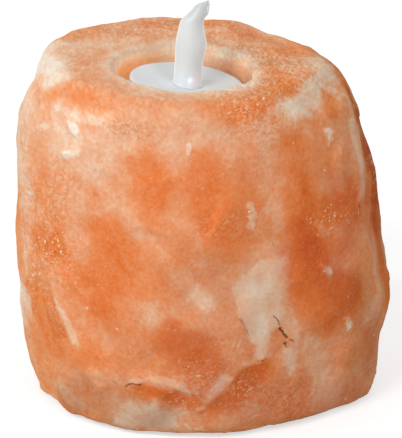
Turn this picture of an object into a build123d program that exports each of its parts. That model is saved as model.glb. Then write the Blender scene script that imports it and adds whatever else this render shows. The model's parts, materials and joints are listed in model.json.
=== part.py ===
# Rock-salt tea-light lamp: a rough-hewn salt block, bored from above, that holds a battery tea light.
# Millimetres, +Z up. The origin is on the table, under the middle of the block; +X is to the right
# and +Y to the back of someone who looks at the block's front.

import os
from math import cos, radians, sin, tan

from build123d import *

# Salt block
BLOCK_WIDTH = 124.0
BLOCK_DEPTH = 114.0
BLOCK_HEIGHT = 110.0
TOP_TILT = 2.3
BORE_X = -6.3
BORE_Y = -8.0
BORE_CLEARANCE = 3.0
LIP_RADIUS = 3.0

# Felt pads
PAD_DIAMETER = 18.0
PAD_THICKNESS = 1.5
PAD_SPREAD_X = 56.0
PAD_SPREAD_Y = 54.0

# Tea light: how it lies in the bore, and its moulded cup
TEA_LEAN = 7.5
TEA_OFFSET = -1.3
TEA_SUNK = 6.0
CUP_WALL = 1.1
CUP_DRAFT = 0.3
CUP_TOP = 1.2
CUP_DISH = 0.9
CUP_STEP = 0.4
HEADROOM = 8.4
COLLAR_WALL = 1.0
COLLAR_DEPTH = 1.8

# Moulded flame
FLAME_HEIGHT = 28.8
FLAME_FOOT = 9.2
FLAME_FLANGE = 1.6
FLAME_FLANGE_THICKNESS = 1.1
FLAME_FIT = 0.15
COLLAR_FIT = 0.2
POCKET_GAP = 0.6
POCKET_HEADROOM = 0.9

# Light-emitting diode
LED_DIAMETER = 5.0
LED_HEIGHT = 8.6
LED_RIM = 0.4
LED_RIM_HEIGHT = 1.0
LED_STAND = 4.0
LEAD_PITCH = 2.54
LEAD_SIDE = 0.5
LEAD_TAIL = 0.6
ANODE_DEPTH = 3.6
CATHODE_DEPTH = 3.2
ANVIL_WIDTH = 1.3
ANVIL_HEIGHT = 1.2
LEAD_HOLE = 0.9

# Circuit board and what is fixed on it
BOARD_THICKNESS = 1.0
BOARD_EDGE_GAP = 2.1
BLOB_DIAMETER = 5.0
BLOB_HEIGHT = 1.1
BLOB_X = -8.0
BLOB_Y = 5.0
SCREW_DIAMETER = 1.8
SCREW_LENGTH = 4.5
SCREW_HEAD_DIAMETER = 3.4
SCREW_HEAD_HEIGHT = 1.2
SCREW_SLOT = 0.5
SCREW_FIT = 0.1
PILOT_FIT = 0.05

# Coin cell
CELL_DIAMETER = 20.0
CELL_HEIGHT = 3.2
CELL_WALL = 0.25
CELL_LIP = 0.4
CELL_CAP_STEP = 0.25
GASKET_WIDTH = 1.0
CELL_FIT = 0.1
CELL_SIDE_GAP = 0.25
CELL_TOP_GAP = 1.4

# Bottom plate, twist-lock door and cell well
PLATE_THICKNESS = 1.6
PLATE_RECESS = 0.6
PLATE_FIT = 0.1
DOOR_MARGIN = 0.85
DOOR_FIT = 0.15
DOOR_BOSS_MARGIN = 1.0
LUG_REACH = 1.15
LUG_THICKNESS = 1.0
LUG_GAP = 0.1
LUG_SPAN = 36.0
LUG_NOTCH_FIT = 0.3
LUG_NOTCH_SPAN = 42.0
DOOR_TURN = 45.0
COIN_SLOT_LENGTH = 14.0
COIN_SLOT_WIDTH = 1.8
COIN_SLOT_DEPTH = 1.0
WELL_WALL = 1.0
WELL_GAP = 0.4
WELL_SIDE_GAP = 0.2
RIB_THICKNESS = 1.2
RIB_GAP = 0.4
BOSS_DIAMETER = 4.0
BOSS_OVERLAP = 0.3

# Sheet-metal contacts
CONTACT_THICKNESS = 0.25
CONTACT_BEND = 0.5
CONTACT_GAP = 0.05
NEGATIVE_WIDTH = 4.0
POSITIVE_WIDTH = 3.0
LEAD_CLEARANCE = 0.5

# Slide switch
CASE_WIDTH = 3.7
CASE_LENGTH = 8.6
CASE_WALL = 0.3
CASE_RIM_GAP = 0.4
SWITCH_GAP = 1.75
SWITCH_SIDE_GAP = 2.75
SWITCH_FIT = 0.1
BASE_THICKNESS = 1.2
PIN_SIDE = 0.5
PIN_PITCH = 2.5
PIN_DROP = 0.3
PIN_TAIL = 0.8
PIN_HOLE = 0.9
WIPER_LENGTH = 3.4
WIPER_WIDTH = 1.6
WIPER_THICKNESS = 0.25
WIPER_GAP = 0.1
KNOB_LENGTH = 4.6
KNOB_THICKNESS = 1.2
KNOB_GAP = 0.05
STEM_WIDTH = 1.7
STEM_LENGTH = 1.9
STEM_RECESS = 0.3
STEM_FIT = 0.2
SWITCH_TRAVEL = 2.5

# Radii about the cell's axis, from the cell outwards
cell_radius = CELL_DIAMETER / 2
door_radius = cell_radius + DOOR_MARGIN
door_hole_radius = door_radius + DOOR_FIT
lug_radius = door_radius + LUG_REACH
well_inner = lug_radius + WELL_GAP
well_outer = well_inner + WELL_WALL

# Radii about the tea light's axis: the cup is as wide as the cell well and the switch beside it
cup_inner = (WELL_SIDE_GAP + 2 * well_outer + SWITCH_GAP + CASE_WIDTH + SWITCH_SIDE_GAP) / 2
cup_foot_radius = cup_inner + CUP_WALL
cup_radius = cup_foot_radius + CUP_DRAFT
plate_seat_radius = cup_inner + CUP_STEP
board_radius = cup_inner - BOARD_EDGE_GAP
flame_foot_radius = FLAME_FOOT / 2
flame_hole_radius = flame_foot_radius + FLAME_FIT
flange_radius = flame_foot_radius + FLAME_FLANGE
collar_inner = flange_radius + COLLAR_FIT
led_radius = LED_DIAMETER / 2
pocket_radius = led_radius + POCKET_GAP

# Places across the tea light
cell_x = -cup_inner + WELL_SIDE_GAP + well_outer
switch_x = cup_inner - SWITCH_SIDE_GAP - CASE_WIDTH / 2
boss_radius = BOSS_DIAMETER / 2
boss_reach = well_outer + boss_radius - BOSS_OVERLAP
boss_places = [(cell_x + boss_reach * cos(radians(a)), boss_reach * sin(radians(a))) for a in (45, -45)]
lead_x = LEAD_PITCH / 2

# Heights above the foot of the tea light
plate_bottom = PLATE_RECESS
plate_top = plate_bottom + PLATE_THICKNESS
lug_bottom = plate_top + LUG_GAP
lug_top = lug_bottom + LUG_THICKNESS
cell_bottom = lug_top + LUG_GAP
cell_top = cell_bottom + CELL_HEIGHT
board_bottom = cell_top + CELL_TOP_GAP
board_top = board_bottom + BOARD_THICKNESS
led_bottom = board_top + LED_STAND
led_top = led_bottom + LED_HEIGHT
cup_ceiling = board_top + HEADROOM
dish_bottom = cup_ceiling + CUP_TOP
cup_top = dish_bottom + CUP_DISH
flange_bottom = cup_ceiling - FLAME_FLANGE_THICKNESS

# Heights of the slide switch, which hangs under the board
base_bottom = board_bottom - BASE_THICKNESS
pin_bottom = base_bottom - PIN_DROP
wiper_top = pin_bottom - WIPER_GAP
knob_top = wiper_top - WIPER_THICKNESS
knob_bottom = knob_top - KNOB_THICKNESS
case_floor = knob_bottom - KNOB_GAP
case_bottom = case_floor - CASE_WALL
case_rim = board_bottom - CASE_RIM_GAP
stem_bottom = plate_bottom + STEM_RECESS
knob_rest_y = -SWITCH_TRAVEL / 2

# The bore and the seat of the tea light in the block
half_width = BLOCK_WIDTH / 2
half_depth = BLOCK_DEPTH / 2
block_top = PAD_THICKNESS + BLOCK_HEIGHT
bore_radius = cup_radius + BORE_CLEARANCE
rim_height = block_top - BORE_X * tan(radians(TOP_TILT))
seat_height = rim_height - TEA_SUNK - dish_bottom * cos(radians(TEA_LEAN))

# The tea light's own frame: its foot's middle, leaning to the right
lean = radians(TEA_LEAN)
tea = Plane(
    origin=(BORE_X + TEA_OFFSET, BORE_Y, seat_height),
    x_dir=(cos(lean), 0, -sin(lean)),
    z_dir=(sin(lean), 0, cos(lean)),
)
tea_axis = Axis(tea.origin, tea.z_dir)


def level(height, x=0.0, y=0.0):
    """Plane square to the tea light's axis, at a height above its foot."""
    return Plane(tea * Location((x, y, height)))


def upright(x=0.0, y=0.0):
    """Plane through the tea light's axis, across its width; its own y runs up the axis."""
    return Plane(origin=level(0, x, y).origin, x_dir=tea.x_dir, z_dir=-tea.y_dir)


def endwise(x):
    """Plane across the tea light's depth; its own x runs to the back and its y up the axis."""
    return Plane(origin=level(0, x).origin, x_dir=tea.y_dir, z_dir=tea.x_dir)


def parallel_axis(x, y=0.0):
    """Axis beside the tea light's own, through a place on its foot."""
    return Axis(level(0, x, y).origin, tea.z_dir)


def finish(piece, name):
    """Label a piece and write it."""
    piece.part.label = name
    export_step(piece.part, f"parts/{name}.step")


os.makedirs("parts", exist_ok=True)

# Salt block: how far the stone reaches at each height, as shares of its half width and half depth,
# to the right, back right, back, back left, left, front left, front and front right
STONE_RINGS = {
    0.00: (0.915, 0.87, 0.84, 0.85, 0.89, 0.935, 0.905, 0.875),
    0.04: (0.94, 0.90, 0.90, 0.89, 0.92, 0.95, 0.945, 0.915),
    0.13: (0.95, 0.94, 0.96, 0.94, 0.955, 0.96, 0.98, 0.945),
    0.27: (0.99, 0.975, 1.0, 0.975, 0.98, 0.985, 1.0, 0.975),
    0.57: (0.92, 0.96, 0.985, 0.975, 1.0, 0.975, 0.975, 0.935),
    0.80: (0.83, 0.89, 0.93, 0.965, 0.985, 0.955, 0.94, 0.865),
    0.90: (0.78, 0.83, 0.89, 0.95, 0.935, 0.925, 0.90, 0.81),
    0.96: (0.725, 0.75, 0.85, 0.915, 0.865, 0.88, 0.86, 0.75),
    1.00: (0.60, 0.66, 0.775, 0.84, 0.75, 0.79, 0.76, 0.64),
}


def ring_plane(share):
    """Plane of one ring of the stone; the rings tilt more towards the top."""
    tilt = radians(TOP_TILT * share)
    return Plane(
        origin=(0, 0, PAD_THICKNESS + BLOCK_HEIGHT * share),
        x_dir=(cos(tilt), 0, -sin(tilt)),
        z_dir=(sin(tilt), 0, cos(tilt)),
    )


def ring_points(reaches):
    """Points of one ring, one to each eighth of a turn."""
    turns = [radians(45 * i) for i in range(len(reaches))]
    return [(r * half_width * cos(t), r * half_depth * sin(t)) for r, t in zip(reaches, turns)]


def cleavage(x, y, z, normal):
    """Plane of a flat break in the stone, through a place in shares of its half sizes and height."""
    place = (x * half_width, y * half_depth, PAD_THICKNESS + z * BLOCK_HEIGHT)
    return Plane(origin=place, z_dir=normal)


# The flat breaks that hewing left, from the right side round by the front to the back
CLEAVAGES = {
    "right cheek": cleavage(0.895, 0.10, 0.62, (0.95, 0.18, 0.20)),
    "right front shoulder": cleavage(0.62, -0.30, 0.94, (0.52, -0.26, 0.81)),
    "right front, low": cleavage(0.605, -0.72, 0.20, (0.60, -0.79, -0.12)),
    "right front, high": cleavage(0.39, -0.84, 0.62, (0.42, -0.90, 0.12)),
    "left front, middle": cleavage(-0.473, -0.82, 0.42, (-0.46, -0.89, 0.02)),
    "left front shoulder": cleavage(-0.62, -0.66, 0.955, (-0.50, -0.55, 0.67)),
    "left front, low": cleavage(-0.86, -0.44, 0.24, (-0.84, -0.53, -0.10)),
    "left side": cleavage(-0.985, -0.10, 0.60, (-0.995, -0.10, 0.03)),
    "left back": cleavage(-0.60, 0.74, 0.55, (-0.55, 0.82, 0.14)),
    "back, low": cleavage(0.10, 0.96, 0.20, (0.10, 0.97, -0.20)),
    "right back": cleavage(0.66, 0.66, 0.40, (0.68, 0.72, 0.10)),
}

# The bore goes straight down to a floor that slopes with the tea light
with BuildPart() as bore:
    with BuildSketch(Plane.XY.offset(seat_height - bore_radius)):
        with Locations((BORE_X, BORE_Y)):
            Circle(bore_radius)
    extrude(amount=block_top + bore_radius - seat_height + bore_radius)
    split(bisect_by=tea, keep=Keep.TOP)

with BuildPart() as salt_block:
    for share, reaches in STONE_RINGS.items():
        with BuildSketch(ring_plane(share)):
            with BuildLine():
                Spline(*ring_points(reaches), periodic=True)
            make_face()
    loft()
    for plane in CLEAVAGES.values():
        split(bisect_by=plane, keep=Keep.BOTTOM)
    add(bore.part, mode=Mode.SUBTRACT)
    rim = salt_block.edges().filter_by(GeomType.ELLIPSE).sort_by(Axis.Z)[-1]
    fillet(rim, radius=LIP_RADIUS)
finish(salt_block, "salt_block")

# Felt pads under the block
with BuildPart() as felt_feet:
    with BuildSketch():
        with GridLocations(PAD_SPREAD_X, PAD_SPREAD_Y, 2, 2):
            Circle(PAD_DIAMETER / 2)
    extrude(amount=PAD_THICKNESS)
finish(felt_feet, "felt_feet")

# Cup of the tea light: a thin-walled moulding, dished on top, with a hole for the flame, a collar that
# locates the flame's flange and a step that seats the bottom plate
with BuildPart() as candle_shell:
    with BuildSketch(upright()):
        with BuildLine():
            dish_edge = cup_radius - CUP_DISH
            Line((plate_seat_radius, 0), (cup_foot_radius, 0))
            Line((cup_foot_radius, 0), (cup_radius, cup_top - CUP_DISH))
            RadiusArc((cup_radius, cup_top - CUP_DISH), (dish_edge, cup_top), -CUP_DISH)
            Spline(
                (dish_edge, cup_top),
                ((dish_edge + flame_hole_radius) / 2, dish_bottom + CUP_DISH / 6),
                (flame_hole_radius, dish_bottom),
            )
            Polyline(
                (flame_hole_radius, dish_bottom),
                (flame_hole_radius, cup_ceiling),
                (collar_inner, cup_ceiling),
                (collar_inner, cup_ceiling - COLLAR_DEPTH),
                (collar_inner + COLLAR_WALL, cup_ceiling - COLLAR_DEPTH),
                (collar_inner + COLLAR_WALL, cup_ceiling),
                (cup_inner, cup_ceiling),
                (cup_inner, plate_top),
                (plate_seat_radius, plate_top),
                (plate_seat_radius, 0),
            )
        make_face()
    revolve(axis=tea_axis)
finish(candle_shell, "candle_shell")

# Flame: sideways drift, half width and half depth at even steps up its height, as shares of its foot
FLAME_RINGS = (
    (0.00, 1.00, 1.00),
    (-0.04, 0.98, 0.98),
    (-0.10, 0.97, 0.96),
    (-0.11, 1.02, 0.96),
    (-0.13, 1.055, 0.93),
    (-0.23, 0.91, 0.83),
    (-0.24, 0.75, 0.67),
    (0.22, 0.60, 0.48),
    (0.65, 0.10, 0.09),
)
flame_step = FLAME_HEIGHT / (len(FLAME_RINGS) - 1)

with BuildPart() as flame:
    for i, (drift, width, depth) in enumerate(FLAME_RINGS):
        with BuildSketch(level(dish_bottom + i * flame_step, drift * flame_foot_radius)):
            Ellipse(width * flame_foot_radius, depth * flame_foot_radius)
    loft()
    with BuildSketch(level(flange_bottom)):
        Circle(flange_radius)
    extrude(amount=FLAME_FLANGE_THICKNESS)
    with BuildSketch(level(cup_ceiling)):
        Circle(flame_foot_radius)
    extrude(amount=CUP_TOP)
    with BuildSketch(upright()):
        with BuildLine():
            pocket_top = led_top + POCKET_HEADROOM
            Line((0, flange_bottom), (pocket_radius, flange_bottom))
            Line((pocket_radius, flange_bottom), (pocket_radius, pocket_top - pocket_radius))
            RadiusArc((pocket_radius, pocket_top - pocket_radius), (0, pocket_top), -pocket_radius)
            Line((0, pocket_top), (0, flange_bottom))
        make_face()
    revolve(axis=tea_axis, mode=Mode.SUBTRACT)
finish(flame, "flame")

# Diode legs: square wire from under the board up into the lens, the cathode with its wide anvil
with BuildPart() as led_anode_lead:
    with BuildSketch(level(board_bottom - LEAD_TAIL, lead_x)):
        Rectangle(LEAD_SIDE, LEAD_SIDE)
    extrude(amount=LEAD_TAIL + BOARD_THICKNESS + LED_STAND + ANODE_DEPTH)
finish(led_anode_lead, "led_anode_lead")

with BuildPart() as led_cathode_lead:
    with BuildSketch(level(board_bottom - LEAD_TAIL, -lead_x)):
        Rectangle(LEAD_SIDE, LEAD_SIDE)
    extrude(amount=LEAD_TAIL + BOARD_THICKNESS + LED_STAND + CATHODE_DEPTH)
    with BuildSketch(level(led_bottom + CATHODE_DEPTH, -lead_x - LEAD_SIDE / 2)):
        Rectangle(ANVIL_WIDTH, LEAD_SIDE, align=(Align.MIN, Align.CENTER))
    extrude(amount=ANVIL_HEIGHT)
finish(led_cathode_lead, "led_cathode_lead")

# Lens of the diode, cast round the upper ends of its legs
with BuildPart() as led_lens:
    with BuildSketch(upright()):
        with BuildLine():
            rim_radius = led_radius + LED_RIM
            Polyline(
                (0, led_top),
                (0, led_bottom),
                (rim_radius, led_bottom),
                (rim_radius, led_bottom + LED_RIM_HEIGHT),
                (led_radius, led_bottom + LED_RIM_HEIGHT),
                (led_radius, led_top - led_radius),
            )
            RadiusArc((led_radius, led_top - led_radius), (0, led_top), -led_radius)
        make_face()
    revolve(axis=tea_axis)
    add(led_anode_lead.part, mode=Mode.SUBTRACT)
    add(led_cathode_lead.part, mode=Mode.SUBTRACT)
finish(led_lens, "led_lens")

# Circuit board, drilled for the diode's legs, the switch's pins and the screws
with BuildPart() as circuit_board:
    with BuildSketch(level(board_bottom)):
        Circle(board_radius)
        with Locations((lead_x, 0), (-lead_x, 0)):
            Circle(LEAD_HOLE / 2, mode=Mode.SUBTRACT)
        with Locations((switch_x, 0)):
            with GridLocations(0, PIN_PITCH, 1, 3):
                Circle(PIN_HOLE / 2, mode=Mode.SUBTRACT)
        with Locations(*boss_places):
            Circle(SCREW_DIAMETER / 2 + SCREW_FIT, mode=Mode.SUBTRACT)
    extrude(amount=BOARD_THICKNESS)
finish(circuit_board, "circuit_board")

# Drop of potting resin over the flicker chip
with BuildPart() as chip_blob:
    with BuildSketch(upright(BLOB_X, BLOB_Y)):
        with BuildLine():
            blob_radius = BLOB_DIAMETER / 2
            dome_radius = (blob_radius**2 + BLOB_HEIGHT**2) / (2 * BLOB_HEIGHT)
            Line((0, board_top), (blob_radius, board_top))
            RadiusArc((blob_radius, board_top), (0, board_top + BLOB_HEIGHT), -dome_radius)
            Line((0, board_top + BLOB_HEIGHT), (0, board_top))
        make_face()
    revolve(axis=parallel_axis(BLOB_X, BLOB_Y))
finish(chip_blob, "chip_blob")

# Two slotted screws that hold the board on the bosses of the bottom plate
with BuildPart() as board_screws:
    with BuildSketch(level(board_top - SCREW_LENGTH)):
        with Locations(*boss_places):
            Circle(SCREW_DIAMETER / 2)
    extrude(amount=SCREW_LENGTH)
    with BuildSketch(level(board_top)):
        with Locations(*boss_places):
            Circle(SCREW_HEAD_DIAMETER / 2)
    extrude(amount=SCREW_HEAD_HEIGHT)
    with BuildSketch(level(board_top + SCREW_HEAD_HEIGHT)):
        with Locations(*boss_places):
            Rectangle(SCREW_HEAD_DIAMETER, SCREW_SLOT)
    extrude(amount=-SCREW_HEAD_HEIGHT / 2, mode=Mode.SUBTRACT)
finish(board_screws, "board_screws")

# Slide switch: a sheet can under the board, closed by a moulded base with three pins
case_inner_width = CASE_WIDTH - 2 * CASE_WALL
case_inner_length = CASE_LENGTH - 2 * CASE_WALL
slot_length = STEM_LENGTH + SWITCH_TRAVEL + 2 * STEM_FIT

with BuildPart() as switch_case:
    with BuildSketch(level(case_bottom, switch_x)):
        Rectangle(CASE_WIDTH, CASE_LENGTH)
    extrude(amount=case_rim - case_bottom)
    with BuildSketch(level(case_floor, switch_x)):
        Rectangle(case_inner_width, case_inner_length)
    extrude(amount=case_rim - case_floor, mode=Mode.SUBTRACT)
    with BuildSketch(level(case_bottom, switch_x)):
        Rectangle(STEM_WIDTH + STEM_FIT, slot_length)
    extrude(amount=CASE_WALL, mode=Mode.SUBTRACT)
finish(switch_case, "switch_case")

with BuildPart() as switch_pins:
    with BuildSketch(level(pin_bottom, switch_x)):
        with GridLocations(0, PIN_PITCH, 1, 3):
            Rectangle(PIN_SIDE, PIN_SIDE)
    extrude(amount=board_top + PIN_TAIL - pin_bottom)
finish(switch_pins, "switch_pins")

with BuildPart() as switch_base:
    with BuildSketch(level(base_bottom, switch_x)):
        Rectangle(case_inner_width - SWITCH_FIT, case_inner_length - SWITCH_FIT)
        with GridLocations(0, PIN_PITCH, 1, 3):
            Rectangle(PIN_SIDE, PIN_SIDE, mode=Mode.SUBTRACT)
    extrude(amount=BASE_THICKNESS)
finish(switch_base, "switch_base")

# Moving pieces of the switch: the knob, whose stem reaches down through the bottom, and its wiper
with BuildPart() as switch_knob:
    with BuildSketch(level(knob_bottom, switch_x, knob_rest_y)):
        Rectangle(case_inner_width - 2 * SWITCH_FIT, KNOB_LENGTH)
    extrude(amount=KNOB_THICKNESS)
    with BuildSketch(level(stem_bottom, switch_x, knob_rest_y)):
        Rectangle(STEM_WIDTH, STEM_LENGTH)
    extrude(amount=knob_bottom - stem_bottom)
finish(switch_knob, "switch_knob")

with BuildPart() as switch_wiper:
    with BuildSketch(level(knob_top, switch_x, knob_rest_y)):
        RectangleRounded(WIPER_WIDTH, WIPER_LENGTH, WIPER_WIDTH / 4)
    extrude(amount=WIPER_THICKNESS)
finish(switch_wiper, "switch_wiper")

# Bottom plate with the door's hole and lug notches, the ribbed cell well, screw bosses and switch slot
with BuildPart() as base_plate:
    with BuildSketch(level(plate_bottom)):
        Circle(plate_seat_radius - PLATE_FIT)
    extrude(amount=PLATE_THICKNESS)
    with BuildSketch(level(plate_top)):
        with Locations((cell_x, 0)):
            Circle(well_outer)
        with Locations(*boss_places):
            Circle(boss_radius)
    extrude(amount=board_bottom - plate_top)
    with BuildSketch(level(plate_top, cell_x)):
        Circle(well_inner)
    extrude(amount=board_bottom - plate_top, mode=Mode.SUBTRACT)
    with BuildSketch(level(lug_top + RIB_GAP, cell_x)):
        rib_reach = cell_radius + CELL_SIDE_GAP
        with PolarLocations((rib_reach + well_outer) / 2, 4, start_angle=45):
            Rectangle(well_outer - rib_reach, RIB_THICKNESS)
    extrude(amount=cell_top - lug_top)
    with BuildSketch(level(plate_bottom, cell_x)):
        Circle(door_hole_radius)
        for side in (0, 180):
            with BuildLine():
                notch_radius = lug_radius + LUG_NOTCH_FIT
                notch_start = side + DOOR_TURN - LUG_NOTCH_SPAN / 2
                arc = CenterArc((0, 0), notch_radius, notch_start, LUG_NOTCH_SPAN)
                Line((0, 0), arc @ 0)
                Line(arc @ 1, (0, 0))
            make_face()
    extrude(amount=PLATE_THICKNESS, mode=Mode.SUBTRACT)
    with BuildSketch(level(plate_bottom, switch_x)):
        Rectangle(STEM_WIDTH + 2 * STEM_FIT, slot_length + STEM_FIT)
    extrude(amount=PLATE_THICKNESS, mode=Mode.SUBTRACT)
    with BuildSketch(level(board_top - SCREW_LENGTH)):
        with Locations(*boss_places):
            Circle(SCREW_DIAMETER / 2 + PILOT_FIT)
    extrude(amount=SCREW_LENGTH - BOARD_THICKNESS, mode=Mode.SUBTRACT)
finish(base_plate, "base_plate")

# Twist-lock battery door: a disc in the plate's hole, a boss that carries the cell and two lugs that
# turn over the plate's edge, with a coin slot below
with BuildPart() as battery_door:
    boss_top_radius = cell_radius - DOOR_BOSS_MARGIN
    with BuildSketch(level(plate_bottom, cell_x)):
        Circle(door_radius)
    extrude(amount=PLATE_THICKNESS)
    with BuildSketch(level(plate_top, cell_x)):
        Circle(boss_top_radius)
    extrude(amount=cell_bottom - plate_top)
    with BuildSketch(level(lug_bottom, cell_x)):
        for side in (0, 180):
            with BuildLine():
                arc = CenterArc((0, 0), lug_radius, side - LUG_SPAN / 2, LUG_SPAN)
                Line((0, 0), arc @ 0)
                Line(arc @ 1, (0, 0))
            make_face()
    extrude(amount=LUG_THICKNESS)
    with BuildSketch(level(plate_bottom, cell_x)):
        SlotOverall(COIN_SLOT_LENGTH, COIN_SLOT_WIDTH)
    extrude(amount=COIN_SLOT_DEPTH, mode=Mode.SUBTRACT)
finish(battery_door, "battery_door")

# Coin cell: a can with its rim crimped in, a gasket and a cap that stands proud
can_rim = cell_top - CELL_CAP_STEP
gasket_outer = cell_radius - CELL_WALL - CELL_FIT
gasket_inner = gasket_outer - GASKET_WIDTH
cap_radius = gasket_inner - CELL_FIT

with BuildPart() as coin_cell_can:
    with BuildSketch(upright(cell_x)):
        with BuildLine():
            Polyline(
                (0, cell_bottom),
                (cell_radius - CELL_WALL, cell_bottom),
                (cell_radius, cell_bottom + CELL_WALL),
                (cell_radius, can_rim - CELL_WALL),
                (cell_radius - CELL_WALL, can_rim),
                (cell_radius - CELL_WALL - CELL_LIP, can_rim),
                (cell_radius - CELL_WALL - CELL_LIP, can_rim - CELL_WALL),
                (cell_radius - CELL_WALL, can_rim - CELL_WALL),
                (cell_radius - CELL_WALL, cell_bottom + CELL_WALL),
                (0, cell_bottom + CELL_WALL),
                (0, cell_bottom),
            )
        make_face()
    revolve(axis=parallel_axis(cell_x))
finish(coin_cell_can, "coin_cell_can")

with BuildPart() as coin_cell_gasket:
    with BuildSketch(level(cell_bottom + CELL_WALL, cell_x)):
        Circle(gasket_outer)
        Circle(gasket_inner, mode=Mode.SUBTRACT)
    extrude(amount=can_rim - 2 * CELL_WALL - cell_bottom)
finish(coin_cell_gasket, "coin_cell_gasket")

with BuildPart() as coin_cell_cap:
    with BuildSketch(level(cell_bottom + CELL_WALL, cell_x)):
        Circle(cap_radius)
    extrude(amount=CELL_HEIGHT - CELL_WALL)
    fillet(coin_cell_cap.edges().sort_by(tea_axis)[-1], radius=CELL_WALL)
finish(coin_cell_cap, "coin_cell_cap")

# Contacts: strips of spring sheet soldered under the board, one pressed on the cell's cap and one on
# the side of its can
strip_under_board = board_bottom - CONTACT_THICKNESS / 2
strip_on_cap = cell_top + CONTACT_GAP + CONTACT_THICKNESS / 2
strip_beside_can = cell_radius + CONTACT_GAP + CONTACT_THICKNESS / 2
negative_x = -lead_x - LEAD_SIDE / 2 - LEAD_CLEARANCE - NEGATIVE_WIDTH / 2

with BuildPart() as negative_contact:
    with BuildSketch(endwise(negative_x)):
        with BuildLine():
            FilletPolyline(
                (0.95 * cell_radius, strip_under_board),
                (0.70 * cell_radius, strip_under_board),
                (0, strip_on_cap),
                (-0.20 * cell_radius, strip_on_cap + CONTACT_THICKNESS),
                radius=CONTACT_BEND,
            )
        trace(line_width=CONTACT_THICKNESS)
    extrude(amount=NEGATIVE_WIDTH / 2, both=True)
finish(negative_contact, "negative_contact")

with BuildPart() as positive_contact:
    leg_y = -(strip_beside_can + well_inner) / 2
    bow_height = cell_bottom + CELL_HEIGHT / 2
    with BuildSketch(endwise(cell_x)):
        with BuildLine():
            FilletPolyline(
                (-well_inner + CONTACT_THICKNESS, strip_under_board),
                (leg_y, strip_under_board),
                (leg_y, bow_height + CELL_HEIGHT / 4),
                (-strip_beside_can, bow_height),
                (leg_y, bow_height - CELL_HEIGHT / 4),
                radius=CONTACT_BEND / 2,
            )
        trace(line_width=CONTACT_THICKNESS)
    extrude(amount=POSITIVE_WIDTH / 2, both=True)
finish(positive_contact, "positive_contact")
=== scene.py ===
"""Rock-salt tea-light lamp: the stone, its tea light and the studio they stand in.

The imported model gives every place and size. The stone, the flame and the felt pads are modelled again here
with the surface that the real ones show, and every other node keeps its shape and gets a finish.
"""

import json
import logging
import math
from dataclasses import dataclass, replace
from enum import Enum
from typing import Protocol

import bmesh
import bpy
import numpy as np
from mathutils import Euler, Matrix, Vector, noise
from mathutils.bvhtree import BVHTree


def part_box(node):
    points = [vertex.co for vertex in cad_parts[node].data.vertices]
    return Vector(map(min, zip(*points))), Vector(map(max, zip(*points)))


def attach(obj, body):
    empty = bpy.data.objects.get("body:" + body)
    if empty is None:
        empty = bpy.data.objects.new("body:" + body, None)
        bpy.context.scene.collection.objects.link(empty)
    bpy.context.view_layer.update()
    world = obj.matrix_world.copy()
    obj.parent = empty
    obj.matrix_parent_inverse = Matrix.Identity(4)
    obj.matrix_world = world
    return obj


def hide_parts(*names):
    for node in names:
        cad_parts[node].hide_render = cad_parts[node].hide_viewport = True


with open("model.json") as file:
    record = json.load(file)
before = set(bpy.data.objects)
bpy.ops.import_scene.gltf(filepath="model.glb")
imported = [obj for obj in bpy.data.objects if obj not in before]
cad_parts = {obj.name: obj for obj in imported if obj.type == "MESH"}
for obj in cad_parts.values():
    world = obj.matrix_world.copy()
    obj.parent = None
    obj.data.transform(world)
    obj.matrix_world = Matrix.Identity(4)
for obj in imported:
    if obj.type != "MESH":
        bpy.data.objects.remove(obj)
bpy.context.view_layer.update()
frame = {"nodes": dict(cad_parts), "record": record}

log = logging.getLogger("salt_lamp")

MM = 0.001
Pixel = tuple[float, float]
Triple = tuple[float, float, float]
Colour = tuple[float, float, float, float]
Socket = bpy.types.NodeSocket
Material = bpy.types.Material
Piece = bpy.types.Object
Mesh = bpy.types.Mesh
Work = bmesh.types.BMesh
Layer = bmesh.types.BMLayerItem

# Where most of a cloud noise lies
USUAL = (0.3, 0.7)

# The mix node's sockets for two colours and their blend
BELOW, ABOVE, BLENDED = 6, 7, 2


def paint(red: int, green: int, blue: int) -> Colour:
    """Turn a screen colour into the linear colour that the shaders take.

    Args:
        red: red, 0 to 255
        green: green, 0 to 255
        blue: blue, 0 to 255

    Returns:
        The linear colour with full opacity.
    """
    def linear(level: int) -> float:
        """Undo the screen's curve for one channel."""
        share = level / 255
        return share / 12.92 if share <= 0.04045 else ((share + 0.055) / 1.055) ** 2.4

    return (linear(red), linear(green), linear(blue), 1.0)


def new_piece(name: str, mesh: Mesh, smooth: bool = True) -> Piece:
    """Put a mesh into the scene as a piece.

    Args:
        name: the piece's name
        mesh: its mesh
        smooth: whether its faces are shaded smooth

    Returns:
        The new object.
    """
    piece = bpy.data.objects.new(name, mesh)
    bpy.context.scene.collection.objects.link(piece)
    if smooth:
        mesh.shade_smooth()
    return piece


def piece_from(name: str, work: Work, smooth: bool = True) -> Piece:
    """Turn worked geometry into a piece.

    Args:
        name: the piece's name
        work: its geometry, which is freed
        smooth: whether its faces are shaded smooth

    Returns:
        The new object.
    """
    mesh = bpy.data.meshes.new(name)
    work.to_mesh(mesh)
    work.free()
    return new_piece(name, mesh, smooth)


def dress(piece: Piece, *materials: Material) -> None:
    """Give a piece its materials, in place of any it has.

    Args:
        piece: the object to dress
        materials: one material for each slot
    """
    piece.data.materials.clear()
    for material in materials:
        piece.data.materials.append(material)


def clouds(points: np.ndarray, size: float, octaves: int, seed: int) -> np.ndarray:
    """Measure smooth cloud-like noise at many points.

    Args:
        points: places in metres, one row each
        size: the width of the largest clouds, in metres
        octaves: how many finer layers are added
        seed: which of the endless cloud fields to read

    Returns:
        One value for each point, from about -1 to 1.
    """
    start = Vector((seed * 17.3, seed * 5.1, seed * 9.7))
    return np.array(
        [noise.fractal(Vector(point) / size + start, 1.0, 2.0, octaves) for point in points.tolist()]
    )


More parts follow.
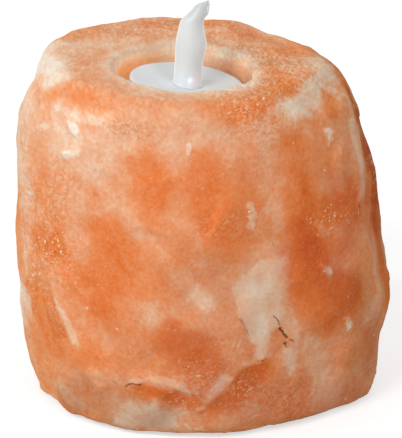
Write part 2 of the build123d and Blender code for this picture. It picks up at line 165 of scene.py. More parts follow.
def close_rings(work: Work, rings: list[list[bmesh.types.BMVert]]) -> None:
    """Skin a stack of rings and close both of its ends.

    Args:
        work: the mesh that the rings are in
        rings: rings of as many vertices each, from the bottom up
    """
    for lower, upper in zip(rings, rings[1:]):
        for i, vert in enumerate(lower):
            j = (i + 1) % len(lower)
            work.faces.new((vert, lower[j], upper[j], upper[i]))
    work.faces.new(reversed(rings[0]))
    work.faces.new(rings[-1])


def soft_step(share: np.ndarray) -> np.ndarray:
    """Ease a share from 0 to 1, flat at both ends."""
    held = np.clip(share, 0.0, 1.0)
    return held * held * (3.0 - 2.0 * held)


def distance_to_path(points: np.ndarray, path: np.ndarray) -> tuple[np.ndarray, np.ndarray]:
    """Find how far each point is from a broken line.

    Args:
        points: places, one row each
        path: the line's corners, one row each

    Returns:
        The distances, and the nearest places on the line.
    """
    best = np.full(len(points), np.inf)
    nearest = np.zeros_like(points)
    ends = path[1:] if len(path) > 1 else path
    for start, end in zip(path, ends):
        along = end - start
        length = max(float(along @ along), 1e-12)
        share = np.clip((points - start) @ along / length, 0.0, 1.0)
        foot = start + share[:, None] * along
        gap = np.linalg.norm(points - foot, axis=1)
        closer = gap < best
        best[closer] = gap[closer]
        nearest[closer] = foot[closer]
    return best, nearest


@dataclass(frozen=True)
class Picture:
    """The photograph's frame and the camera that sees it.

    Attributes:
        width: pixels across
        height: pixels down
        scale: metres to a pixel at the aim
        distance: from the camera to the aim, in metres
        elevation: how far the camera looks down, in degrees
        aim_height: the aim's height above the floor, in metres
        aim_pixel: where the aim lands in the picture
        sensor: the sensor's long side, in millimetres
        side: how far the camera is walked round the aim, in degrees
    """

    width: int = 402
    height: int = 438
    scale: float = 0.33 * MM
    distance: float = 1.2
    elevation: float = 21.0
    aim_height: float = 56 * MM
    aim_pixel: Pixel = (203.5, 219.0)
    sensor: float = 36.0
    side: float = 0.0

    @property
    def aim(self) -> Vector:
        """The point that the camera looks at."""
        return Vector((0.0, 0.0, self.aim_height))

    @property
    def axes(self) -> Matrix:
        """The camera's right, up and back directions, as columns."""
        walk = Matrix.Rotation(math.radians(self.side), 3, "Z")
        return walk @ Matrix.Rotation(math.radians(90 - self.elevation), 3, "X")

    @property
    def eye(self) -> Vector:
        """The camera's place."""
        return self.aim + self.axes.col[2] * self.distance

    def ray(self, pixel: Pixel) -> Vector:
        """Point from the camera through a pixel.

        Args:
            pixel: the place in the picture, across and down

        Returns:
            The direction, one metre long.
        """
        across = (pixel[0] - self.aim_pixel[0]) * self.scale
        down = (pixel[1] - self.aim_pixel[1]) * self.scale
        axes = self.axes
        return (axes.col[0] * across - axes.col[1] * down - axes.col[2] * self.distance).normalized()

    def place_camera(self) -> None:
        """Set the camera up so that the aim lands on its pixel."""
        lens = bpy.data.cameras.new("portrait_camera")
        lens.sensor_width = self.sensor
        lens.lens = self.distance / self.scale * self.sensor / self.height
        lens.shift_x = (self.width / 2 - self.aim_pixel[0]) / self.height
        lens.shift_y = (self.aim_pixel[1] - self.height / 2) / self.height
        lens.clip_start = 0.05
        camera = bpy.data.objects.new("portrait_camera", lens)
        camera.matrix_world = Matrix.Translation(self.eye) @ self.axes.to_4x4()
        bpy.context.scene.collection.objects.link(camera)
        bpy.context.scene.camera = camera


class NodeSheet:
    """A material's nodes, with short ways to add and join them."""

    def __init__(self, name: str) -> None:
        """Start a material that has one shader.

        Args:
            name: the material's name
        """
        self.material = bpy.data.materials.new(name)
        self.material.use_nodes = True
        self.tree = self.material.node_tree
        self.link = self.tree.links.new
        self.shader = self.tree.nodes["Principled BSDF"]
        self.place = self.add("TexCoord").outputs["Object"]

    def add(self, kind: str) -> bpy.types.Node:
        """Add a node of one of the shader kinds."""
        return self.tree.nodes.new("ShaderNode" + kind)

    @staticmethod
    def fill(node: bpy.types.Node, **values: float | Colour | Triple) -> None:
        """Set constant values on a node, with spaces in socket names written as underscores."""
        for name, value in values.items():
            node.inputs[name.replace("_", " ")].default_value = value

    def set(self, **values: float | Colour | Triple) -> None:
        """Set constant values on the shader."""
        self.fill(self.shader, **values)

    def feed(self, source: Socket, socket: str) -> None:
        """Join a result to one of the shader's sockets."""
        self.link(source, self.shader.inputs[socket])

    def join(self, source: Socket | float | Colour, target: Socket) -> None:
        """Link a result to a socket, or set a constant on it.

        Args:
            source: the result or the constant
            target: the socket
        """
        if isinstance(source, Socket):
            self.link(source, target)
        else:
            target.default_value = source

    def stretched(self, x: float, y: float, z: float, turn: Triple = (0.0, 0.0, 0.0)) -> Socket:
        """Turn the place's axes and scale it along each of them, for streaks.

        Args:
            x: the scale across
            y: the scale along
            z: the scale upwards
            turn: how far the axes are turned first, in radians

        Returns:
            The stretched coordinates.
        """
        place = self.place
        for name, value in (("Rotation", turn), ("Scale", (x, y, z))):
            node = self.add("Mapping")
            node.inputs[name].default_value = value
            self.link(place, node.inputs["Vector"])
            place = node.outputs["Vector"]
        return place

    def noise(
        self, size: float, detail: float = 3.0, rough: float = 0.5, distortion: float = 0.0,
        place: Socket | None = None,
    ) -> Socket:
        """Add cloud noise.

        Args:
            size: the width of the largest clouds, in metres
            detail: how many finer layers are added
            rough: how strong the finer layers are
            distortion: how far the clouds curl
            place: the coordinates to use, the object's own if none are given

        Returns:
            The noise, from 0 to 1.
        """
        node = self.add("TexNoise")
        self.fill(node, Scale=1 / size, Detail=detail, Roughness=rough, Distortion=distortion)
        self.link(place or self.place, node.inputs["Vector"])
        return node.outputs[0]

    def cells(self, size: float, place: Socket | None = None) -> tuple[Socket, Socket]:
        """Add a pattern of crystal cells.

        Args:
            size: the width of a cell, in metres
            place: the coordinates to use, the object's own if none are given

        Returns:
            The distance to each cell's middle, and a random colour for each cell.
        """
        node = self.add("TexVoronoi")
        self.fill(node, Scale=1 / size)
        self.link(place or self.place, node.inputs["Vector"])
        return node.outputs["Distance"], node.outputs["Color"]

    def field(self, name: str) -> Socket:
        """Read one of the mesh's own measures.

        Args:
            name: the measure's name

        Returns:
            The measure.
        """
        node = self.add("Attribute")
        node.attribute_name = name
        return node.outputs["Fac"]

    def spread(
        self, value: Socket, low: float, high: float, to_low: float = 0.0, to_high: float = 1.0
    ) -> Socket:
        """Map a range of values onto another and hold the ends.

        Args:
            value: what is mapped
            low: the value that becomes to_low
            high: the value that becomes to_high
            to_low: the result at low
            to_high: the result at high

        Returns:
            The mapped value.
        """
        node = self.add("MapRange")
        self.link(value, node.inputs["Value"])
        self.fill(node, From_Min=low, From_Max=high, To_Min=to_low, To_Max=to_high)
        return node.outputs["Result"]

    def sway(self, cloud: Socket, reach: float) -> Socket:
        """Map cloud noise onto a range that reaches as far below 0 as above it."""
        return self.spread(cloud, *USUAL, -reach, reach)

    def scale(self, share: Socket, low: float, high: float) -> Socket:
        """Map a share from 0 to 1 onto another range."""
        return self.spread(share, 0.0, 1.0, low, high)

    def sum(self, operation: str, first: Socket, second: Socket, held: bool = True) -> Socket:
        """Work out a sum of two values.

        Args:
            operation: the name of the sum, such as ADD or MULTIPLY
            first: the first value
            second: the second value
            held: whether the result is held between 0 and 1

        Returns:
            The result.
        """
        node = self.add("Math")
        node.operation = operation
        node.use_clamp = held
        self.link(first, node.inputs[0])
        self.link(second, node.inputs[1])
        return node.outputs[0]

    def times(self, first: Socket, second: Socket) -> Socket:
        """Multiply two values, with no limits on the result."""
        return self.sum("MULTIPLY", first, second, held=False)

    def total(self, *values: Socket) -> Socket:
        """Add several values up, with no limits on the result.

        Args:
            values: the values

        Returns:
            Their sum.
        """
        result = values[0]
        for value in values[1:]:
            result = self.sum("ADD", result, value, held=False)
        return result

    def blend(
        self, share: Socket, first: Socket | Colour, second: Socket | Colour, mode: str = "MIX"
    ) -> Socket:
        """Blend two colours.

        Args:
            share: how much of the second shows
            first: the colour underneath
            second: the colour on top
            mode: how they mix

        Returns:
            The blended colour.
        """
        node = self.add("Mix")
        node.data_type = "RGBA"
        node.blend_type = mode
        self.link(share, node.inputs[0])
        self.join(first, node.inputs[BELOW])
        self.join(second, node.inputs[ABOVE])
        return node.outputs[BLENDED]

    def ramp(self, value: Socket, stops: dict[float, Colour]) -> Socket:
        """Colour a value by named stops.

        Args:
            value: from 0 to 1
            stops: the colour at each value

        Returns:
            The colour.
        """
        node = self.add("ValToRGB")
        self.link(value, node.inputs["Fac"])
        band = node.color_ramp
        while len(band.elements) < len(stops):
            band.elements.new(0.5)
        for element, (at, colour) in zip(band.elements, sorted(stops.items())):
            element.position = at
            element.color = colour
        return node.outputs["Color"]

    def bump(self, height: Socket, depth: float, strength: float = 1.0) -> None:
        """Raise the surface by a height, over any bump that is there already.

        Args:
            height: from 0 to 1
            depth: how far 1 stands above 0, in metres
            strength: how much of it shows
        """
        node = self.add("Bump")
        self.fill(node, Strength=strength, Distance=depth)
        self.link(height, node.inputs["Height"])
        normal = self.shader.inputs["Normal"]
        if normal.is_linked:
            self.link(normal.links[0].from_socket, node.inputs["Normal"])
        self.link(node.outputs["Normal"], normal)


class Finish(Protocol):
    """Anything that can make a material."""

    def make(self) -> Material:
        """Make the material."""


@dataclass(frozen=True)
class RockSalt:
    """Translucent orange salt with milky veins and bright crystal flecks, with painted glints and painted
    shade.

    Attributes:
        name: the material's name
        milk: the stone's colour by how milky it is, from clear to white
        red: the rusty zones
        dusk: the colour that the painted shade multiplies the stone's colour by
        brown: the dark brown along the cracks
        spark: the flecks' colour, pale crystal painted as bright glints
        rarity: how few of the crystals are bright, from 0 to 1
        pale: how much milkier the pale patches are; those on crests also stand in for a painted highlight
        deep: how much clearer the deep patches are; they also get a little painted shade
        broad: how far the widest clouds change the milk
        wispy: how far the wisps change it
        grainy: how far the grain changes it, in plain stone and among flecks
        glow: how far light travels inside, in metres
        lit: the colour of the painted glow on the well's wall, which stands in for light that comes through
            the stone
        lit_power: how strong that glow is
    """

    name: str = "rock_salt"
    milk: tuple[tuple[float, Colour], ...] = (
        (0.00, paint(208, 95, 38)),
        (0.25, paint(226, 122, 62)),
        (0.45, paint(230, 144, 93)),
        (0.65, paint(233, 174, 137)),
        (0.85, paint(236, 205, 178)),
        (1.00, paint(239, 226, 210)),
    )
    red: Colour = paint(196, 80, 44)
    dusk: Colour = paint(180, 175, 168)
    brown: Colour = paint(112, 44, 12)
    spark: Colour = paint(253, 204, 156)
    rarity: float = 0.4
    pale: float = 0.13
    deep: float = 0.12
    broad: float = 0.055
    wispy: float = 0.075
    grainy: tuple[float, float] = (0.066, 0.27)
    glow: float = 5 * MM
    lit: Colour = paint(255, 184, 118)
    lit_power: float = 0.34

    def make(self) -> Material:
        """Make the stone's material from the fields that its mesh carries.

        Returns:
            The material.
        """
        sheet = NodeSheet(self.name)
        fleck = sheet.field("fleck")
        broad = sheet.noise(24 * MM, detail=3, rough=0.5, distortion=0.6)
        wisps = sheet.noise(8 * MM, detail=5, rough=0.55, distortion=0.9)
        grain = sheet.noise(1.3 * MM, detail=4, rough=0.7, place=sheet.stretched(1.0, 0.42, 1.0))
        ragged = sheet.total(sheet.sway(wisps, 0.12), sheet.sway(grain, 0.08))
        edge = (0.4, 0.6)
        pale = sheet.total(sheet.field("pale"), ragged)
        deep = sheet.total(sheet.field("deep"), ragged)
        milk = sheet.total(
            sheet.field("milk"),
            sheet.sway(broad, self.broad),
            sheet.sway(wisps, self.wispy),
            sheet.times(sheet.sway(grain, 1.0), sheet.scale(fleck, *self.grainy)),
            sheet.spread(pale, *edge, 0.0, self.pale),
            sheet.spread(deep, *edge, 0.0, -self.deep),
        )
        colour = sheet.ramp(milk, dict(self.milk))
        colour = sheet.blend(sheet.field("red"), colour, self.red)
        clump = sheet.spread(sheet.noise(3.5 * MM, detail=2), 0.4, 0.6, 0.35, 1.0)
        shown = sheet.sum("MULTIPLY", clump, fleck)
        # Painted glints on short crystal strokes, each with painted shadow in the pit at its foot
        core, foot = self.strokes(sheet, 2.4 * MM, (0.3, 0.5, 0.4))
        for size, turn in ((3.2 * MM, (0.4, -0.6, 1.5)), (4.2 * MM, (-0.5, 0.3, 2.5))):
            more, under = self.strokes(sheet, size, turn)
            core = sheet.sum("MAXIMUM", core, more)
            foot = sheet.sum("MAXIMUM", foot, under)
        # Painted shade: the shade measure, the painted shadow in the strokes' pits and a little in the deep
        # patches, multiplied in as dusk
        dim = sheet.total(
            sheet.field("shade"),
            sheet.times(sheet.scale(foot, 0.0, 0.35), shown),
            sheet.spread(deep, *edge, 0.0, 0.1),
        )
        colour = sheet.blend(dim, colour, self.dusk, mode="MULTIPLY")
        core = sheet.sum("MULTIPLY", core, shown)
        # Painted glints: bright crystal edges and strokes, pale crystal painted as if it caught the light
        spark = sheet.sum("MAXIMUM", sheet.sum("MULTIPLY", self.flakes(sheet, 2.8 * MM), fleck), core)
        bright = sheet.times(spark, sheet.spread(grain, 0.35, 0.65, 0.55, 1.0))
        colour = sheet.blend(bright, colour, self.spark)
        colour = sheet.blend(sheet.field("crack"), colour, self.brown)
        sheet.feed(colour, "Base Color")

        rough = sheet.spread(wisps, *USUAL, 0.4, 0.62)
        sleek = (0.15, 0.15, 0.15, 1.0)
        sheet.feed(sheet.blend(spark, rough, sleek), "Roughness")
        sheet.bump(wisps, 0.5 * MM, 0.2)
        sheet.bump(grain, 0.25 * MM, 0.35)
        sheet.bump(spark, 0.2 * MM, 0.6)
        # Painted glow on the well's wall, from the lit measure
        sheet.feed(sheet.scale(sheet.field("lit"), 0.0, self.lit_power), "Emission Strength")
        sheet.set(
            Emission_Color=self.lit,
            Subsurface_Weight=0.55,
            Subsurface_Radius=(1.0, 0.6, 0.35),
            Subsurface_Scale=self.glow,
            Specular_IOR_Level=0.0,
            IOR=1.54,
        )
        return sheet.material

    def strokes(self, sheet: NodeSheet, size: float, turn: Triple) -> tuple[Socket, Socket]:
        """Scatter short bright edges of crystals that all lie one way, painted as glints with painted shadow
        beside them.

        Args:
            sheet: the stone's nodes
            size: the distance between strokes, in metres
            turn: the way that they lie, in radians

        Returns:
            The strokes' painted glints, and the painted shadow of the pits that they stand in, both 1 there
            and 0 elsewhere.
        """
        near, random = sheet.cells(size, sheet.stretched(1.0, 2.6, 2.6, turn=turn))
        chosen = sheet.spread(random, self.rarity, self.rarity + 0.2)
        core = sheet.sum("MULTIPLY", chosen, sheet.spread(near, 0.2, 0.36, 1.0, 0.0))
        return core, sheet.sum("MULTIPLY", chosen, sheet.spread(near, 0.36, 0.56, 1.0, 0.0))

    @staticmethod
    def flakes(sheet: NodeSheet, size: float) -> Socket:
        """Draw the thin bright edges of crystal flakes, painted as glints.

        Args:
            sheet: the stone's nodes
            size: the width of a flake, in metres

        Returns:
            1 on an edge, 0 elsewhere.
        """
        level = sheet.noise(size, detail=2, distortion=0.5)
        edge = sheet.sum("MULTIPLY", sheet.spread(level, 0.49, 0.5), sheet.spread(level, 0.5, 0.51, 1.0, 0.0))
        shown = sheet.spread(sheet.noise(size * 1.3, detail=2), 0.56, 0.62)
        return sheet.sum("MULTIPLY", edge, shown)


@dataclass(frozen=True)
class SaltCrystal:
    """Bright small crystals of clearer salt.

    Attributes:
        name: the material's name
        pale: the whitest crystals
        warm: the most orange ones
    """

    name: str = "salt_crystal"
    pale: Colour = paint(242, 198, 158)
    warm: Colour = paint(236, 164, 108)

    def make(self) -> Material:
        """Make the crystals' material from the tone that each one carries.

        Returns:
            The material.
        """
        sheet = NodeSheet(self.name)
        cloud = sheet.noise(0.8 * MM, detail=2)
        tone = sheet.total(sheet.field("tone"), sheet.sway(cloud, 0.2))
        sheet.feed(sheet.blend(tone, self.warm, self.pale), "Base Color")
        sheet.feed(sheet.spread(cloud, *USUAL, 0.08, 0.22), "Roughness")
        sheet.bump(cloud, 0.05 * MM, 0.3)
        sheet.set(IOR=1.54)
        return sheet.material


@dataclass(frozen=True)
class MouldedPlastic:
    """Moulded plastic with a faint flow pattern and a fine matt texture.

    Attributes:
        name: the material's name
        colour: its main colour
        shade: the colour of the flow marks
        rough: its roughness
        glow: how far light travels inside, in metres
        milky: how much of the light goes inside
    """

    name: str
    colour: Colour
    shade: Colour
    rough: float = 0.4
    glow: float = 1 * MM
    milky: float = 0.0

    def make(self) -> Material:
        """Make the plastic.

        Returns:
            The material.
        """
        sheet = NodeSheet(self.name)
        flow = sheet.noise(9 * MM, detail=3, distortion=0.8)
        sheet.feed(sheet.blend(sheet.spread(flow, 0.3, 0.8), self.colour, self.shade), "Base Color")
        texture = sheet.noise(0.35 * MM, detail=2)
        sheet.feed(sheet.spread(flow, 0.2, 0.8, self.rough - 0.06, self.rough + 0.08), "Roughness")
        sheet.bump(texture, 0.02 * MM, 0.4)
        sheet.set(Subsurface_Weight=self.milky, Subsurface_Radius=(1.0, 0.9, 0.8), Subsurface_Scale=self.glow)
        return sheet.material


@dataclass(frozen=True)
class Metal:
    """Sheet or drawn metal with fine lines, dull spots and a thin film.

    Attributes:
        name: the material's name
        colour: the clean metal
        tarnish: the metal where it has dulled
        rough: its roughness
        lines: the scale of the drawn lines along each axis
    """

    name: str
    colour: Colour
    tarnish: Colour
    rough: float = 0.3
    lines: Triple = (1.0, 8.0, 1.0)

    def make(self) -> Material:
        """Make the metal.

        Returns:
            The material.
        """
        sheet = NodeSheet(self.name)
        dull = sheet.noise(3 * MM, detail=5, rough=0.6)
        line = sheet.noise(0.6 * MM, detail=3, place=sheet.stretched(*self.lines))
        sheet.feed(sheet.blend(sheet.spread(dull, 0.45, 0.75), self.colour, self.tarnish), "Base Color")
        sheet.feed(sheet.spread(line, 0.2, 0.8, self.rough - 0.08, self.rough + 0.12), "Roughness")
        sheet.bump(line, 0.01 * MM, 0.4)
        sheet.set(Metallic=1.0)
        return sheet.material


@dataclass(frozen=True)
class Felt:
    """Pressed felt of short crossing fibres.

    Attributes:
        name: the material's name
        colour: most of the fibres
        fibre: the lighter fibres
    """

    name: str = "felt"
    colour: Colour = paint(96, 82, 72)
    fibre: Colour = paint(150, 134, 120)

    def make(self) -> Material:
        """Make the felt.

        Returns:
            The material.
        """
        sheet = NodeSheet(self.name)
        along = sheet.noise(0.9 * MM, detail=4, distortion=2.0, place=sheet.stretched(1.0, 6.0, 3.0))
        across = sheet.noise(0.9 * MM, detail=4, distortion=2.0, place=sheet.stretched(6.0, 1.0, 3.0))
        fibres = sheet.sum("MAXIMUM", along, across)
        sheet.feed(sheet.blend(sheet.spread(fibres, 0.45, 0.75), self.colour, self.fibre), "Base Color")
        sheet.bump(fibres, 0.2 * MM, 0.8)
        sheet.set(Roughness=0.95, Sheen_Weight=0.4, Sheen_Roughness=0.5)
        return sheet.material


@dataclass(frozen=True)
class Laminate:
    """Glass-fibre circuit board with its weave under a coat of resist.

    Attributes:
        name: the material's name
        colour: the resist
        weave: the resist over the weave's high threads
        pitch: the distance between threads, in metres
    """

    name: str = "board_laminate"
    colour: Colour = paint(38, 92, 52)
    weave: Colour = paint(58, 118, 70)
    pitch: float = 0.5 * MM

    def make(self) -> Material:
        """Make the board.

        Returns:
            The material.
        """
        sheet = NodeSheet(self.name)
        threads = sheet.noise(self.pitch, detail=1, place=sheet.stretched(1.0, 0.25, 1.0))
        cross = sheet.noise(self.pitch, detail=1, place=sheet.stretched(0.25, 1.0, 1.0))
        weave = sheet.sum("MAXIMUM", threads, cross)
        sheet.feed(sheet.blend(sheet.spread(weave, 0.4, 0.7), self.colour, self.weave), "Base Color")
        sheet.feed(sheet.spread(weave, 0.3, 0.8, 0.3, 0.45), "Roughness")
        sheet.bump(weave, 0.02 * MM, 0.5)
        sheet.set(Coat_Weight=0.3, Coat_Roughness=0.2)
        return sheet.material


@dataclass(frozen=True)
class FlamePlastic:
    """Milky translucent plastic with a painted glow that stands in for the light from inside its foot.

    Attributes:
        name: the material's name
        colour: the thick lower flame
        thin: the thin tip
        cool: the light's colour on one side of its spot
        core: the light's colour in the middle
        warm: its colour on the other side
        inner: how strongly the painted glow lights the whole flame
        spot: how strongly the spot shines
        rim: how strongly the painted highlight on the moulding line shines
        dim_tip: how much weaker the tip's light is
    """

    name: str = "flame_plastic"
    colour: Colour = paint(192, 197, 197)
    thin: Colour = paint(180, 186, 184)
    cool: Colour = paint(176, 208, 255)
    core: Colour = paint(255, 255, 255)
    warm: Colour = paint(255, 204, 210)
    inner: float = 0.2
    spot: float = 0.4
    rim: float = 0.2
    dim_tip: float = 0.06

    def make(self) -> Material:
        """Make the plastic from the fields that its mesh carries.

        Returns:
            The material.
        """
        sheet = NodeSheet(self.name)
        flow = sheet.noise(5 * MM, detail=3, distortion=0.8)
        tip = sheet.field("tip")
        mixed = sheet.total(tip, sheet.spread(flow, 0.3, 0.8, -0.1, 0.15))
        sheet.feed(sheet.blend(mixed, self.colour, self.thin), "Base Color")
        sides = {0.1: self.cool, 0.5: self.core, 0.9: self.warm}
        sheet.feed(sheet.ramp(sheet.field("side"), sides), "Emission Color")
        # Painted glow: the light inside the flame, its spot and a painted highlight on the moulding line
        light = sheet.total(
            sheet.scale(sheet.field("glow"), self.inner, self.inner + self.spot),
            sheet.scale(sheet.field("edge"), 0.0, self.rim),
            sheet.scale(tip, 0.0, -self.dim_tip),
        )
        sheet.feed(light, "Emission Strength")
        sheet.feed(sheet.spread(flow, 0.2, 0.8, 0.3, 0.45), "Roughness")
        sheet.bump(flow, 0.1 * MM, 0.2)
        sheet.feed(sheet.scale(tip, 0.05, 0.4), "Transmission Weight")
        sheet.set(
            Subsurface_Weight=0.8,
            Subsurface_Radius=(1.0, 0.95, 0.9),
            Subsurface_Scale=4 * MM,
            IOR=1.46,
        )
        return sheet.material


@dataclass(frozen=True)
class LedResin:
    """Clear resin round a lit chip.

    Attributes:
        name: the material's name
        colour: the resin
        light: the colour that shines through it
        power: how bright it is
    """

    name: str = "clear_resin"
    colour: Colour = paint(244, 246, 250)
    light: Colour = paint(214, 230, 255)
    power: float = 0.8

    def make(self) -> Material:
        """Make the lit resin.

        Returns:
            The material.
        """
        sheet = NodeSheet(self.name)
        swirl = sheet.noise(1.2 * MM, detail=2, distortion=1.0)
        sheet.feed(sheet.spread(swirl, 0.2, 0.8, self.power * 0.8, self.power * 1.2), "Emission Strength")
        sheet.feed(sheet.spread(swirl, 0.2, 0.8, 0.05, 0.15), "Roughness")
        sheet.set(Base_Color=self.colour, Emission_Color=self.light, Transmission_Weight=0.6, IOR=1.5)
        return sheet.material


class Tint(Enum):
    """The measures that the stone's mesh carries for its material."""

    MILK = "milk"
    RED = "red"
    # Painted shade, multiplied into the stone's colour
    SHADE = "shade"
    CRACK = "crack"
    FLECK = "fleck"
    # A painted glow on the well's wall
    LIT = "lit"
    PALE = "pale"
    # Clearer salt that also gets a little painted shade
    DEEP = "deep"


@dataclass(frozen=True)
class Mark:
    """A vein, zone, chip or crack in the stone's face, or a stretch of painted shade.

    Attributes:
        path: the pixels that it passes through, in the view from its side
        reach: half its width, in millimetres
        weight: how strongly it shows, from 0 to 1, or below 0 where it takes milk away
        rise: how far it stands above the face, in millimetres
        side: the side that it is seen from, in degrees round the stone
        tint: the measure that it changes
    """

    path: tuple[Pixel, ...]
    reach: float
    weight: float
    rise: float = 0.0
    side: float = 0.0
    tint: Tint = Tint.MILK


@dataclass(frozen=True)
class Patch:
    """A patch in the stone's face with a sharp edge; the deep ones also carry painted shade.

    Attributes:
        soft: how gently its edge fades, in millimetres
        outline: the pixels of the photograph that it goes round
        tint: the measure that keeps it
    """

    soft: float
    outline: tuple[Pixel, ...]
    tint: Tint = Tint.PALE


class Form(Enum):
    """The shapes that the stone's face is hewn into."""

    STEP = "one side stands higher"
    CREST = "a sharp edge that falls away on both sides"
    SWELL = "a round rise or hollow"


@dataclass(frozen=True)
class Relief:
    """One hewn shape in the stone's face.

    Attributes:
        form: its shape
        path: the pixels that it passes through, in the view from its side
        rise: its height, or its depth where it is below 0, in millimetres
        reach: how far it runs out, in millimetres
        high_side: a pixel step towards a step's higher side
        side: the side that it is seen from, in degrees round the stone
    """

    form: Form
    path: tuple[Pixel, ...]
    rise: float
    reach: float
    high_side: Pixel = (0, 0)
    side: float = 0.0


